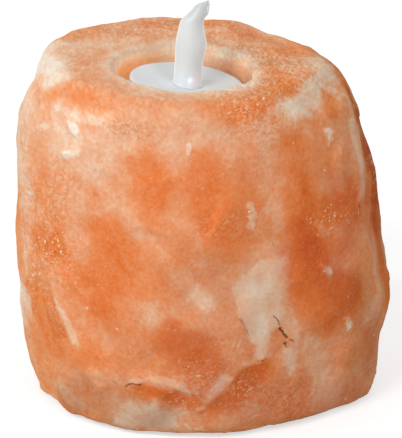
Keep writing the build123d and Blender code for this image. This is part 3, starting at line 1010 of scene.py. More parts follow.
MARKS: dict[str, Mark] = {
    "bloom on the left shoulder": Mark(((36, 64), (44, 66), (58, 77)), 7.5, 0.8),
    "haze by the left edge": Mark(((28, 112), (29, 140), (28, 172)), 7.0, 0.3),
    "bloom along the left rim": Mark(((56, 104), (84, 114), (108, 120)), 3.0, 0.25),
    "bloom below the left rim": Mark(((60, 108), (74, 130)), 6.0, 0.4),
    "haze behind the left shoulder": Mark(((72, 48), (96, 42), (122, 40)), 8.0, 0.28),
    "haze high on the left": Mark(((32, 104), (58, 140), (86, 150)), 12.0, 0.4),
    "haze on the left": Mark(((76, 196), (82, 246)), 9.0, 0.2),
    "haze left of the heart": Mark(((118, 150), (122, 205)), 8.0, 0.12),
    "haze on the left edge": Mark(((18, 96), (16, 150), (16, 210), (20, 280)), 15.0, 0.46),
    "bloom on the left edge": Mark(((43, 55), (36, 66), (32, 80)), 9.0, 0.75),
    "pink haze on the left edge": Mark(((19, 110), (20, 160), (22, 230), (24, 290)), 9.0, 0.44),
    "cloud right of the middle": Mark(((262, 116), (276, 160)), 8.0, 0.06),
    "haze round the foot": Mark(((172, 405), (240, 402)), 9.0, 0.18),
    "cloud by the streak": Mark(((168, 150), (186, 168)), 7.0, 0.15),
    "cloud low in the middle": Mark(((172, 318), (218, 324)), 8.0, 0.2),
    "haze under the front rim": Mark(((110, 132), (165, 134), (212, 138)), 9.0, 0.3),
    "crystal on the left": Mark(((66, 153), (78, 150)), 2.2, 0.2, 0.5),
    "core of the left crystal": Mark(((67, 153), (71, 152)), 0.9, 0.6, 0.25),
    "crystal under the left rim": Mark(((70, 122), (76, 129)), 2.2, 0.2, 0.5),
    "core of the rim crystal": Mark(((71, 123), (74, 126)), 0.9, 0.6, 0.25),
    "crystal by the left edge": Mark(((40, 128), (50, 126)), 1.7, 0.15, 0.3),
    "run on the right rim": Mark(((318, 60), (325, 74), (312, 90), (303, 104), (284, 111)), 5.5, 0.38),
    # A pale line along the ridge: milkier salt with a painted highlight
    "right ridge": Mark(
        ((344, 92), (346, 112), (347, 130), (350, 150), (358, 170), (360, 186), (355, 204)), 3.0, 0.3
    ),
    "chip high on the right": Mark(((326, 130), (330, 134), (328, 141)), 1.4, 0.45, 0.3),
    "chip in the middle": Mark(((248, 205), (254, 212), (251, 218), (252, 226)), 1.5, 0.55, 0.3),
    "short streak": Mark(((189, 144), (189.5, 154)), 0.8, 0.8, 0.2),
    "chip low on the right": Mark(((320, 264), (329, 272)), 1.6, 0.95, 0.3),
    "chip by the right foot": Mark(((347, 318), (350, 328)), 1.5, 0.6, 0.3),
    "soft column": Mark(((262, 140), (266, 165), (272, 205), (278, 222)), 5.0, 0.28),
    "top of the drop": Mark(((270, 258), (256, 286)), 7.5, 0.24),
    "middle of the drop": Mark(((242, 292), (262, 320)), 7.0, 0.25),
    "tail of the drop": Mark(((262, 318), (262, 352)), 3.5, 0.3),
    "side of the drop": Mark(((278, 288), (292, 320)), 5.5, 0.2),
    "point below the drop": Mark(((288, 350), (291, 373)), 2.5, 0.25),
    "haze low on the right": Mark(((308, 352), (326, 376), (328, 394)), 7.5, 0.28),
    "right bulge": Mark(((374, 244), (381, 270), (384, 294), (374, 314)), 6.0, 0.28),
    # Pale crests of the folds: milkier salt with a painted highlight
    "crest of the low fold": Mark(((203, 406), (213, 393), (226, 378)), 2.6, 0.2),
    "crest of the left fold": Mark(((58, 300), (66, 320), (78, 344)), 2.4, 0.25),
    "long vein": Mark(
        ((92, 165), (102, 186), (127, 217), (148, 240), (170, 266), (190, 285), (203, 300)), 3.8, 0.2
    ),
    "cloud beside the vein": Mark(((150, 228), (186, 206)), 8.0, 0.12),
    "cloud under the vein": Mark(((150, 311), (150, 322)), 4.8, 0.42),
    "end of the vein": Mark(((198, 298), (206, 303)), 4.5, 0.4),
    "cloud in the middle": Mark(((205, 268), (215, 288)), 6.0, 0.15),
    "grey foot": Mark(((116, 412), (150, 412), (172, 424)), 9.0, 0.34),
    "grey heel": Mark(((62, 388), (78, 402)), 4.0, 0.35),
    # Pale crest of the arch: milkier salt with a painted highlight
    "crest of the arch": Mark(((94, 374), (121, 379), (150, 378), (189, 392)), 3.0, 0.15),
    "back edge": Mark(((140, 24), (215, 24), (262, 36)), 7.0, -0.28),
    "right of the well": Mark(((212, 105), (248, 108)), 5.5, -0.4),
    "beside the well": Mark(((260, 66), (278, 84), (262, 100)), 6.5, -0.5),
    "left edge of the top": Mark(((36, 94), (60, 95), (90, 102)), 4.0, -0.18),
    "right shoulder": Mark(((327, 98), (330, 114)), 3.2, -0.5),
    "left heart": Mark(((144, 166), (162, 184), (154, 199)), 7.0, -0.36),
    "middle heart": Mark(((201, 162), (206, 192), (226, 236)), 7.5, -0.38),
    "left belly": Mark(((106, 238), (111, 264), (104, 302)), 10.0, -0.44),
    "left side": Mark(((38, 238), (58, 250)), 5.5, -0.42),
    "left facet": Mark(((32, 290), (50, 335)), 7.0, -0.35),
    "right heart": Mark(((292, 146), (300, 164)), 5.5, -0.34),
    "right side": Mark(((328, 212), (350, 200)), 7.5, -0.5),
    "right belly": Mark(((304, 202), (310, 228), (312, 262)), 8.5, -0.56),
    "lower right": Mark(((310, 264), (316, 300), (334, 312), (346, 290)), 10.0, -0.55),
    "lower middle": Mark(((170, 340), (205, 360)), 9.0, -0.32),
    "over the arch": Mark(((64, 356), (92, 356)), 6.0, -0.25),
    # Clearer, darker salt under the arch and the low fold: partly painted shade under the overhangs
    "under the arch": Mark(((143, 391), (170, 396), (188, 403)), 3.5, -0.35),
    "under the low fold": Mark(((214, 406), (240, 390), (262, 374)), 6.0, -0.35),
    # Clearer salt behind the ridge: partly painted shade where it turns from the lamps
    "behind the right ridge": Mark(((350, 98), (355, 122), (368, 160), (374, 205), (376, 222)), 5.0, -0.6),
    "rust on the right side": Mark(((340, 190), (352, 206), (345, 240)), 8.0, 0.4, tint=Tint.RED),
    "rust lower right": Mark(((304, 250), (346, 292)), 11.0, 0.45, tint=Tint.RED),
    "rust lower middle": Mark(((174, 340), (205, 365)), 8.0, 0.28, tint=Tint.RED),
    # Red behind the ridge: partly rusty salt, partly painted shade where it turns from the lamps
    "rust behind the right ridge": Mark(((355, 110), (372, 170), (377, 215)), 7.0, 0.6, tint=Tint.RED),
    "rust on the back edge": Mark(((140, 22), (215, 22), (270, 36)), 5.0, 0.2, tint=Tint.RED),
    # Red low on the right edge: partly rusty salt, partly painted shade where it turns from the lamps
    "rust low on the right edge": Mark(((374, 326), (370, 364)), 7.0, 0.3, tint=Tint.RED),
    "rust round the foot": Mark(((200, 395), (250, 395), (300, 400), (340, 400)), 9.0, 0.3, tint=Tint.RED),
    # The shade marks paint shade into the stone's colour: low down, on its right side, along its rims and in
    # its middle
    "shade on the left foot": Mark(((66, 394), (116, 404), (160, 416)), 10.0, 0.5, tint=Tint.SHADE),
    "shade low in the middle": Mark(((130, 346), (180, 342), (230, 350)), 13.0, 0.18, tint=Tint.SHADE),
    "shade on the front rim": Mark(((128, 124), (176, 124), (224, 122)), 6.0, 0.14, tint=Tint.SHADE),
    "shade on the right rim": Mark(((322, 72), (312, 92), (304, 108)), 5.0, 0.2, tint=Tint.SHADE),
    "shade in the middle": Mark(
        ((174, 272), (225, 280), (268, 300), (270, 325)), 12.0, 0.2, tint=Tint.SHADE
    ),
    "shade on the right side": Mark(((230, 170), (224, 380)), 25.0, 0.44, side=90, tint=Tint.SHADE),
    "shade low on the right edge": Mark(((362, 306), (364, 340), (360, 372)), 13.0, 0.26, tint=Tint.SHADE),
    "shade round the foot": Mark(((180, 402), (230, 400)), 9.0, 0.08, tint=Tint.SHADE),
    "crack in the drop": Mark(((274, 315), (278, 320), (280, 326)), 0.35, 0.75, -0.3, tint=Tint.CRACK),
    "middle of the crack": Mark(((280.5, 327), (283, 332)), 0.5, 0.95, -0.4, tint=Tint.CRACK),
    "end of the crack": Mark(((284.5, 334), (287.5, 338)), 0.5, 0.9, -0.4, tint=Tint.CRACK),
    "foot of the crack": Mark(((288, 339), (293, 342)), 0.3, 0.6, -0.3, tint=Tint.CRACK),
    "dots below the crack": Mark(((284.5, 343), (287, 347)), 0.45, 0.7, -0.3, tint=Tint.CRACK),
    "fine crack in the drop": Mark(
        ((240.5, 320), (242, 322), (245, 327)), 0.35, 0.36, -0.2, tint=Tint.CRACK
    ),
    "foot of the fine crack": Mark(((246, 330), (250, 336.5)), 0.35, 0.36, -0.2, tint=Tint.CRACK),
    "crack under the arch": Mark(
        ((125, 386.5), (128, 384.5), (133, 383.5), (136, 384.4), (141, 384.8)),
        0.33, 0.8, -0.4, tint=Tint.CRACK,
    ),
    "crack on the low fold": Mark(((258, 362), (266, 359)), 0.3, 0.45, -0.3, tint=Tint.CRACK),
    "crack on the belly": Mark(((273, 243), (275, 247)), 0.25, 0.35, -0.2, tint=Tint.CRACK),
    "speck on the right": Mark(((355, 205), (356, 207)), 0.5, 0.7, -0.3, tint=Tint.CRACK),
    "flecks right of the well": Mark(((258, 46), (300, 72), (258, 106)), 13.0, 0.95, tint=Tint.FLECK),
    "flecks behind the well": Mark(((110, 30), (180, 24), (240, 32)), 9.0, 0.7, tint=Tint.FLECK),
    "flecks on the left": Mark(((60, 180), (48, 220), (44, 252), (62, 262)), 10.0, 0.6, tint=Tint.FLECK),
    "flecks across the right": Mark(
        ((308, 219), (318, 226), (326, 217), (338, 217), (346, 220), (354, 212)), 2.2, 0.65, tint=Tint.FLECK
    ),
    "flecks by the left fold": Mark(((46, 290), (54, 312), (62, 334)), 3.0, 0.6, tint=Tint.FLECK),
    "flecks on the left edge": Mark(
        ((22, 190), (24, 232), (27, 276), (36, 302)), 4.5, 0.55, tint=Tint.FLECK
    ),
    "flecks in the middle": Mark(((204, 226), (226, 226), (242, 232)), 4.0, 0.4, tint=Tint.FLECK),
    "flecks low in the middle": Mark(
        ((190, 400), (206, 368), (244, 388), (300, 398)), 10.0, 0.55, tint=Tint.FLECK
    ),
    "flecks on the upper left": Mark(((120, 128), (140, 134)), 5.0, 0.8, tint=Tint.FLECK),
    "right side cloud": Mark(((250, 150), (270, 200)), 10.0, 0.45, side=90),
    "right side vein": Mark(
        ((160, 120), (190, 180), (215, 250), (260, 310), (300, 340)), 3.5, 0.4, side=90
    ),
    "right side foot": Mark(((200, 330), (220, 370)), 8.0, 0.4, side=90),
    "right side heart": Mark(((300, 240), (330, 290)), 12.0, -0.45, side=90),
    "right side low heart": Mark(((180, 300), (170, 350)), 9.0, -0.4, side=90),
    "right side high heart": Mark(((240, 90), (300, 110)), 8.0, -0.4, side=90),
    "right side chip": Mark(((290, 200), (296, 208)), 1.6, 0.7, 0.4, side=90),
    "right side high chip": Mark(((180, 150), (184, 156)), 1.4, 0.7, 0.4, side=90),
    "right side low chip": Mark(((340, 320), (344, 328)), 1.5, 0.6, 0.4, side=90),
    "right side rust": Mark(((150, 230), (170, 300)), 10.0, 0.4, side=90, tint=Tint.RED),
    "right side back rust": Mark(((330, 180), (350, 240)), 9.0, 0.35, side=90, tint=Tint.RED),
    "right side crack": Mark(
        ((262, 230), (266, 238), (270, 243)), 0.4, 0.7, -0.4, side=90, tint=Tint.CRACK
    ),
    "right side low crack": Mark(
        ((300, 345), (310, 342), (318, 346)), 0.35, 0.6, -0.3, side=90, tint=Tint.CRACK
    ),
    "right side flecks": Mark(((300, 150), (330, 170)), 8.0, 0.6, side=90, tint=Tint.FLECK),
    "right side low flecks": Mark(((200, 220), (215, 240)), 7.0, 0.6, side=90, tint=Tint.FLECK),
    "back drop": Mark(((150, 220), (140, 260), (150, 300)), 9.0, 0.5, side=180),
    "tail of the back drop": Mark(((150, 300), (156, 335)), 4.0, 0.5, side=180),
    "back vein": Mark(((290, 130), (258, 178), (246, 240), (206, 290), (190, 340)), 4.5, 0.32, side=180),
    "branch of the back vein": Mark(((262, 262), (290, 284), (336, 300)), 4.5, 0.22, side=180),
    "back cloud": Mark(((300, 200), (330, 240)), 11.0, 0.35, side=180),
    "high back cloud": Mark(((90, 140), (120, 170)), 10.0, 0.35, side=180),
    "back foot": Mark(((220, 380), (260, 390)), 9.0, 0.4, side=180),
    "back heart": Mark(((200, 170), (190, 220)), 11.0, -0.45, side=180),
    "low back heart": Mark(((290, 340), (320, 370)), 10.0, -0.45, side=180),
    "left of the back": Mark(((90, 260), (100, 330)), 10.0, -0.45, side=180),
    "right of the back": Mark(((340, 140), (350, 180)), 8.0, -0.4, side=180),
    "back chip": Mark(((210, 190), (216, 197)), 1.5, 0.75, 0.4, side=180),
    "left back chip": Mark(((110, 230), (114, 238)), 1.6, 0.7, 0.4, side=180),
    "right back chip": Mark(((320, 330), (326, 334)), 1.6, 0.65, 0.4, side=180),
    "low back chip": Mark(((170, 370), (178, 372)), 1.3, 0.6, 0.3, side=180),
    "back rust": Mark(((60, 220), (70, 300)), 10.0, 0.4, side=180, tint=Tint.RED),
    "low back rust": Mark(((230, 310), (260, 340)), 10.0, 0.35, side=180, tint=Tint.RED),
    "high back rust": Mark(((320, 110), (350, 130)), 8.0, 0.3, side=180, tint=Tint.RED),
    "back crack": Mark(
        ((262, 300), (258, 308), (261, 315), (256, 322)), 0.45, 0.75, -0.4, side=180, tint=Tint.CRACK
    ),
    "low back crack": Mark(
        ((120, 360), (130, 356), (139, 358)), 0.35, 0.65, -0.3, side=180, tint=Tint.CRACK
    ),
    "right back crack": Mark(((330, 260), (334, 268)), 0.3, 0.5, -0.3, side=180, tint=Tint.CRACK),
    "back flecks": Mark(((180, 130), (230, 140)), 9.0, 0.6, side=180, tint=Tint.FLECK),
    "left back flecks": Mark(((70, 190), (80, 220)), 8.0, 0.6, side=180, tint=Tint.FLECK),
    "right back flecks": Mark(((300, 280), (310, 300)), 8.0, 0.5, side=180, tint=Tint.FLECK),
    "left side cloud": Mark(((120, 140), (150, 180)), 11.0, 0.4, side=270),
    "left side vein": Mark(
        ((250, 140), (220, 200), (190, 250), (150, 300), (130, 350)), 3.5, 0.4, side=270
    ),
    "left side foot": Mark(((200, 340), (230, 370)), 9.0, 0.4, side=270),
    "left side heart": Mark(((90, 220), (110, 280)), 11.0, -0.45, side=270),
    "left side low heart": Mark(((230, 260), (240, 310)), 10.0, -0.4, side=270),
    "left side high heart": Mark(((96, 134), (130, 124)), 8.0, -0.35, side=270),
    "left side chip": Mark(((170, 170), (176, 176)), 1.5, 0.7, 0.4, side=270),
    "left side low chip": Mark(((110, 320), (114, 328)), 1.5, 0.65, 0.4, side=270),
    "left side streak": Mark(((210, 220), (213, 230)), 1.2, 0.7, 0.3, side=270),
    "left side rust": Mark(((60, 300), (90, 350)), 9.0, 0.35, side=270, tint=Tint.RED),
    "left side high rust": Mark(((160, 210), (170, 250)), 8.0, 0.3, side=270, tint=Tint.RED),
    "left side crack": Mark(
        ((140, 240), (146, 247), (148, 256)), 0.4, 0.7, -0.4, side=270, tint=Tint.CRACK
    ),
    "left side low crack": Mark(
        ((230, 390), (240, 387), (250, 390)), 0.4, 0.65, -0.3, side=270, tint=Tint.CRACK
    ),
    "left side flecks": Mark(((100, 160), (130, 190)), 9.0, 0.6, side=270, tint=Tint.FLECK),
    "left side front flecks": Mark(((250, 200), (270, 230)), 8.0, 0.5, side=270, tint=Tint.FLECK),
}

PATCHES: dict[str, Patch] = {
    "left of the drop": Patch(1.6, (
        (262, 258), (250, 270), (241, 280), (234, 286), (231, 292), (234, 300), (238, 308), (239, 318),
        (247, 334), (256, 346), (260, 356), (264, 357), (268, 345), (272, 335), (277, 320), (276, 300),
        (274, 280), (272, 262),
    )),
    "right of the drop": Patch(4.0, (
        (262, 262), (284, 256), (289, 275), (291, 300), (296, 316), (300, 335), (296, 345), (290, 338),
        (280, 330), (270, 320), (262, 300),
    )),
    "below the drop": Patch(2.0, (
        (283, 352), (292, 346), (297, 354), (297, 364), (291, 378), (288, 370), (284, 364),
    )),
    "rim crystal": Patch(0.9, (
        (69, 119), (74, 121), (80, 127), (83, 133), (76, 135), (70, 130), (69, 124),
    )),
    "left crystal": Patch(0.9, (
        (64, 155), (66, 152), (71, 150), (76, 150), (81, 149), (82, 151), (80, 155), (76, 159), (70, 160),
    )),
    "edge crystal": Patch(0.8, ((39, 124), (50, 123), (53, 127), (50, 129), (42, 127))),
    "left rim": Patch(1.8, (
        (52, 104), (66, 107), (78, 111), (88, 115), (102, 118), (108, 120), (104, 124), (96, 126),
        (86, 124), (76, 118), (66, 113), (56, 110),
    )),
    "right rim": Patch(2.6, (
        (311, 57), (320, 57), (326, 64), (331, 72), (333, 81), (327, 81), (321, 79), (318, 88), (319, 102),
        (316, 112), (306, 119), (294, 120), (282, 117), (262, 117), (268, 110), (279, 104), (288, 98),
        (297, 92), (305, 85), (311, 78), (314, 71), (314, 63),
    )),
    # Clearer salt on the facet beyond the right rim, with painted shade where it turns from the lamps
    "right edge": Patch(1.2, (
        (328, 62), (334, 72), (340, 85), (345, 98), (346, 108), (350, 117), (357, 121), (361, 118),
        (356, 103), (351, 90), (346, 78), (339, 67), (332, 59),
    ), Tint.DEEP),
    # The ridge's crest, milkier salt with a painted highlight, and the facet behind it, clearer salt with
    # painted shade
    "right ridge": Patch(1.6, (
        (344, 119), (351, 121), (356, 125), (358, 132), (359, 143), (360, 155), (363, 166), (365, 176),
        (364, 186), (361, 195), (355, 203), (352, 200), (357, 190), (358, 178), (355, 165), (350, 150),
        (346, 135),
    )),
    "behind the ridge": Patch(1.4, (
        (359, 133), (361, 143), (362, 156), (365, 166), (367, 176), (366, 186), (363, 196), (361, 205),
        (381, 205), (380, 180), (376, 162), (370, 150), (364, 140),
    ), Tint.DEEP),
    # The arch's crest, milkier salt with a painted highlight, and the hollow under it, clearer salt with
    # painted shade
    "arch": Patch(1.2, (
        (94, 377), (104, 380), (115, 382), (127, 384.5), (140, 384), (150, 386), (158, 388), (166, 388),
        (175, 390), (183, 394), (191, 395), (189, 391), (182, 385), (174, 379), (164, 375), (151, 377),
        (137, 379), (120, 380), (105, 377),
    )),
    "under the arch": Patch(1.6, (
        (124, 387), (132, 385), (140, 384.5), (150, 387), (158, 389), (166, 389), (175, 391.5),
        (183, 395.5), (187, 399), (183, 405), (176, 408), (168, 406), (161, 400), (150, 394), (140, 391),
        (130, 389),
    ), Tint.DEEP),
    "foot": Patch(5.0, (
        (132, 400), (144, 397), (152, 399), (158, 402), (162, 409), (169, 412), (174, 418), (178, 426),
        (176, 431), (150, 430), (132, 427), (116, 422), (116, 412), (124, 405),
    )),
    "chip under the foot": Patch(0.9, (
        (184, 425), (187, 424), (192, 428), (200, 428), (203, 425), (204, 430), (188, 430),
    )),
    # The low fold's crest, milkier salt with a painted highlight, and the hollow under it, clearer salt with
    # painted shade
    "low fold": Patch(1.6, (
        (222, 373), (234, 378), (231, 384), (228, 390), (222, 394), (215, 397), (210, 401), (204, 410),
        (201, 408), (205, 401), (209, 394), (213, 385), (217, 378),
    )),
    "under the low fold": Patch(2.0, (
        (244, 367), (256, 365), (265, 361), (270, 366), (262, 376), (250, 390), (238, 396), (224, 404),
        (212, 412), (208, 407), (213, 400), (222, 396), (229, 391), (233, 383), (236, 376),
    ), Tint.DEEP),
    "foot of the drop": Patch(1.6, (
        (238, 366), (248, 360), (256, 352), (262, 350), (265, 358), (257, 364), (246, 367),
    )),
    # The left fold's crest, milkier salt with a painted highlight, and the hollow behind it, clearer salt
    # with painted shade
    "left fold": Patch(1.2, (
        (54, 296), (58, 304), (62, 314), (66, 324), (70, 335), (73, 342), (80, 348), (81, 342), (76, 330),
        (72, 320), (66, 312), (60, 302),
    )),
    "behind the left fold": Patch(1.6, (
        (41, 287), (50, 292), (56, 302), (60, 312), (63, 322), (67, 331), (69, 338), (62, 340), (54, 336),
        (50, 322), (48, 308), (42, 296),
    ), Tint.DEEP),
    "spark beside the drop": Patch(0.6, ((236.5, 350), (238, 344), (240.5, 341), (240, 346))),
    "small spark beside the drop": Patch(0.6, ((232, 348), (233, 343), (235, 342), (234, 347))),
    "line on the left": Patch(0.9, ((40, 254), (45, 258), (50, 263), (49, 266), (43, 261))),
    "chip low on the right": Patch(0.8, (
        (316, 261), (321, 264), (328, 267), (333, 275), (328, 277), (320, 273), (317, 267),
    )),
    "chip in the row": Patch(0.7, ((314, 226), (319, 224), (324, 225), (321, 228), (316, 229))),
    "chip by the right foot": Patch(0.8, (
        (345, 317), (349, 316), (353, 320), (353, 327), (349, 330), (346, 325),
    )),
    "star on the right": Patch(0.8, (
        (326, 130), (328, 127), (330, 129), (334, 130), (331, 134), (329, 138), (327, 141), (326, 137),
        (322, 132),
    )),
}

RELIEFS: dict[str, Relief] = {
    "arch": Relief(
        Form.STEP, ((92, 376), (120, 382), (136, 384), (152, 383), (172, 388), (190, 395)), 0.25, 4.0, (0, -6)
    ),
    "low fold": Relief(
        Form.STEP, ((205, 409), (218, 396), (236, 379), (252, 367), (268, 359)), 0.2, 5.0, (-4, -4)
    ),
    "left fold": Relief(Form.CREST, ((44, 256), (54, 290), (66, 318), (80, 346)), 0.9, 6.0),
    "left facet": Relief(Form.STEP, ((52, 286), (60, 302), (70, 326), (80, 346)), 0.2, 3.5, (5, -2)),
    "left rim": Relief(Form.CREST, ((30, 99), (40, 95), (60, 101), (84, 112), (112, 121)), 1.1, 6.0),
    "front rim": Relief(Form.CREST, ((112, 121), (160, 126), (215, 122), (250, 117)), 0.5, 6.0),
    "right rim": Relief(Form.CREST, ((250, 117), (285, 107), (308, 92), (322, 72)), 1.0, 6.0),
    "right ridge": Relief(
        Form.CREST, ((348, 118), (351, 132), (357, 165), (358, 190), (352, 212)), 1.9, 9.0
    ),
    "vein crest": Relief(Form.CREST, ((92, 165), (127, 217), (170, 266), (203, 300)), 0.5, 6.0),
    "right shoulder": Relief(Form.SWELL, ((371, 165), (378, 192), (381, 212)), 1.3, 8.0),
    "top right": Relief(Form.SWELL, ((350, 88), (354, 102)), -1.9, 6.0),
    "right waist": Relief(Form.SWELL, ((385, 240), (385, 258)), -1.9, 14.0),
    "right bulge": Relief(Form.SWELL, ((388, 298),), 1.0, 6.0),
    "back right": Relief(Form.SWELL, ((262, 31), (278, 37), (302, 47)), -1.3, 7.0),
    "back edge": Relief(
        Form.SWELL, ((70, 32), (90, 26), (130, 20), (180, 17), (225, 20), (262, 32), (296, 42)), -1.0, 7.0
    ),
    "left shoulder": Relief(Form.SWELL, ((105, 176), (150, 160), (195, 145)), -2.6, 7.5, side=270),
    "right heel": Relief(Form.SWELL, ((352, 400),), 1.8, 8.0),
    "left heel": Relief(Form.SWELL, ((50, 398),), -1.2, 7.0),
    "left notch": Relief(Form.SWELL, ((33, 367),), -0.9, 2.5),
    "foot notch": Relief(Form.SWELL, ((78, 412),), -0.9, 2.5),
    "top left": Relief(Form.SWELL, ((50, 44), (60, 36)), 0.6, 7.0),
    "right side edge": Relief(Form.CREST, ((290, 110), (285, 200), (300, 300)), 0.8, 7.0, side=90),
    "right side arch": Relief(Form.STEP, ((200, 350), (240, 340), (280, 345)), 0.22, 4.0, (0, -6), 90),
    "right side hollow": Relief(Form.SWELL, ((240, 250),), -0.8, 9.0, side=90),
    "back edge line": Relief(Form.CREST, ((250, 110), (240, 180), (250, 250)), 0.8, 7.0, side=180),
    "left back edge": Relief(Form.CREST, ((120, 120), (150, 180), (150, 250)), 0.6, 7.0, side=180),
    "back arch": Relief(
        Form.STEP, ((110, 350), (150, 340), (200, 345), (240, 356)), 0.25, 4.0, (0, -6), 180
    ),
    "back hollow": Relief(Form.SWELL, ((300, 220),), -0.9, 9.0, side=180),
    "low back hollow": Relief(Form.SWELL, ((180, 280),), -0.8, 9.0, side=180),
    "left side edge": Relief(Form.CREST, ((140, 110), (150, 200), (140, 300)), 0.8, 7.0, side=270),
    "left side arch": Relief(Form.STEP, ((100, 360), (150, 352), (190, 358)), 0.22, 4.0, (0, -6), 270),
    "left side hollow": Relief(Form.SWELL, ((220, 240),), -0.7, 9.0, side=270),
}


@dataclass(frozen=True)
class Cluster:
    """A handful of bright crystals that stand in the stone's face.

    Attributes:
        pixel: the pixel at its middle
        count: how many crystals it has
        spread: how far from the middle they lie, in millimetres
        size: the width of a middling crystal, in millimetres
        side: the side that it is seen from, in degrees round the stone
    """

    pixel: Pixel
    count: int
    spread: float
    size: float
    side: float = 0.0


CLUSTERS: dict[str, Cluster] = {
    "under the left face": Cluster((96, 168), 9, 2.6, 0.7),
    "under the rim": Cluster((129, 130), 22, 3.6, 0.5),
    "left side": Cluster((50, 246), 26, 9.0, 0.6),
    "low on the left side": Cluster((34, 280), 16, 8.0, 0.6),
    "star on the right": Cluster((329, 135), 8, 2.2, 0.55),
    "star in the middle": Cluster((251, 213), 10, 2.8, 0.55),
    "row on the right": Cluster((332, 218), 22, 5.5, 0.45),
    "low on the right": Cluster((325, 270), 8, 2.2, 0.5),
    "right foot": Cluster((349, 323), 6, 2.2, 0.5),
    "end of the vein": Cluster((206, 300), 8, 2.4, 0.7),
    "right of the well": Cluster((290, 66), 40, 9.0, 0.45),
    "right of the front rim": Cluster((262, 102), 24, 8.0, 0.45),
    "behind the well": Cluster((232, 36), 24, 9.0, 0.45),
    "left of the well": Cluster((112, 44), 16, 9.0, 0.45),
    "low middle": Cluster((232, 392), 8, 6.0, 0.4),
    "right side": Cluster((315, 160), 24, 5.0, 0.6, 90),
    "low on the right side": Cluster((210, 230), 14, 4.0, 0.6, 90),
    "back": Cluster((205, 135), 24, 6.0, 0.6, 180),
    "left of the back": Cluster((75, 205), 16, 4.0, 0.7, 180),
    "right of the back": Cluster((305, 290), 14, 4.0, 0.6, 180),
    "far left side": Cluster((115, 175), 22, 5.0, 0.6, 270),
    "front of the left side": Cluster((260, 215), 14, 4.0, 0.6, 270),
}

# How much the flat of the top adds to each measure: flecks and milk of its dust, and painted shade that
# darkens the top
DUST_AND_TOP_SHADE: dict[Tint, float] = {Tint.FLECK: 0.25, Tint.SHADE: 0.12, Tint.MILK: 0.2}


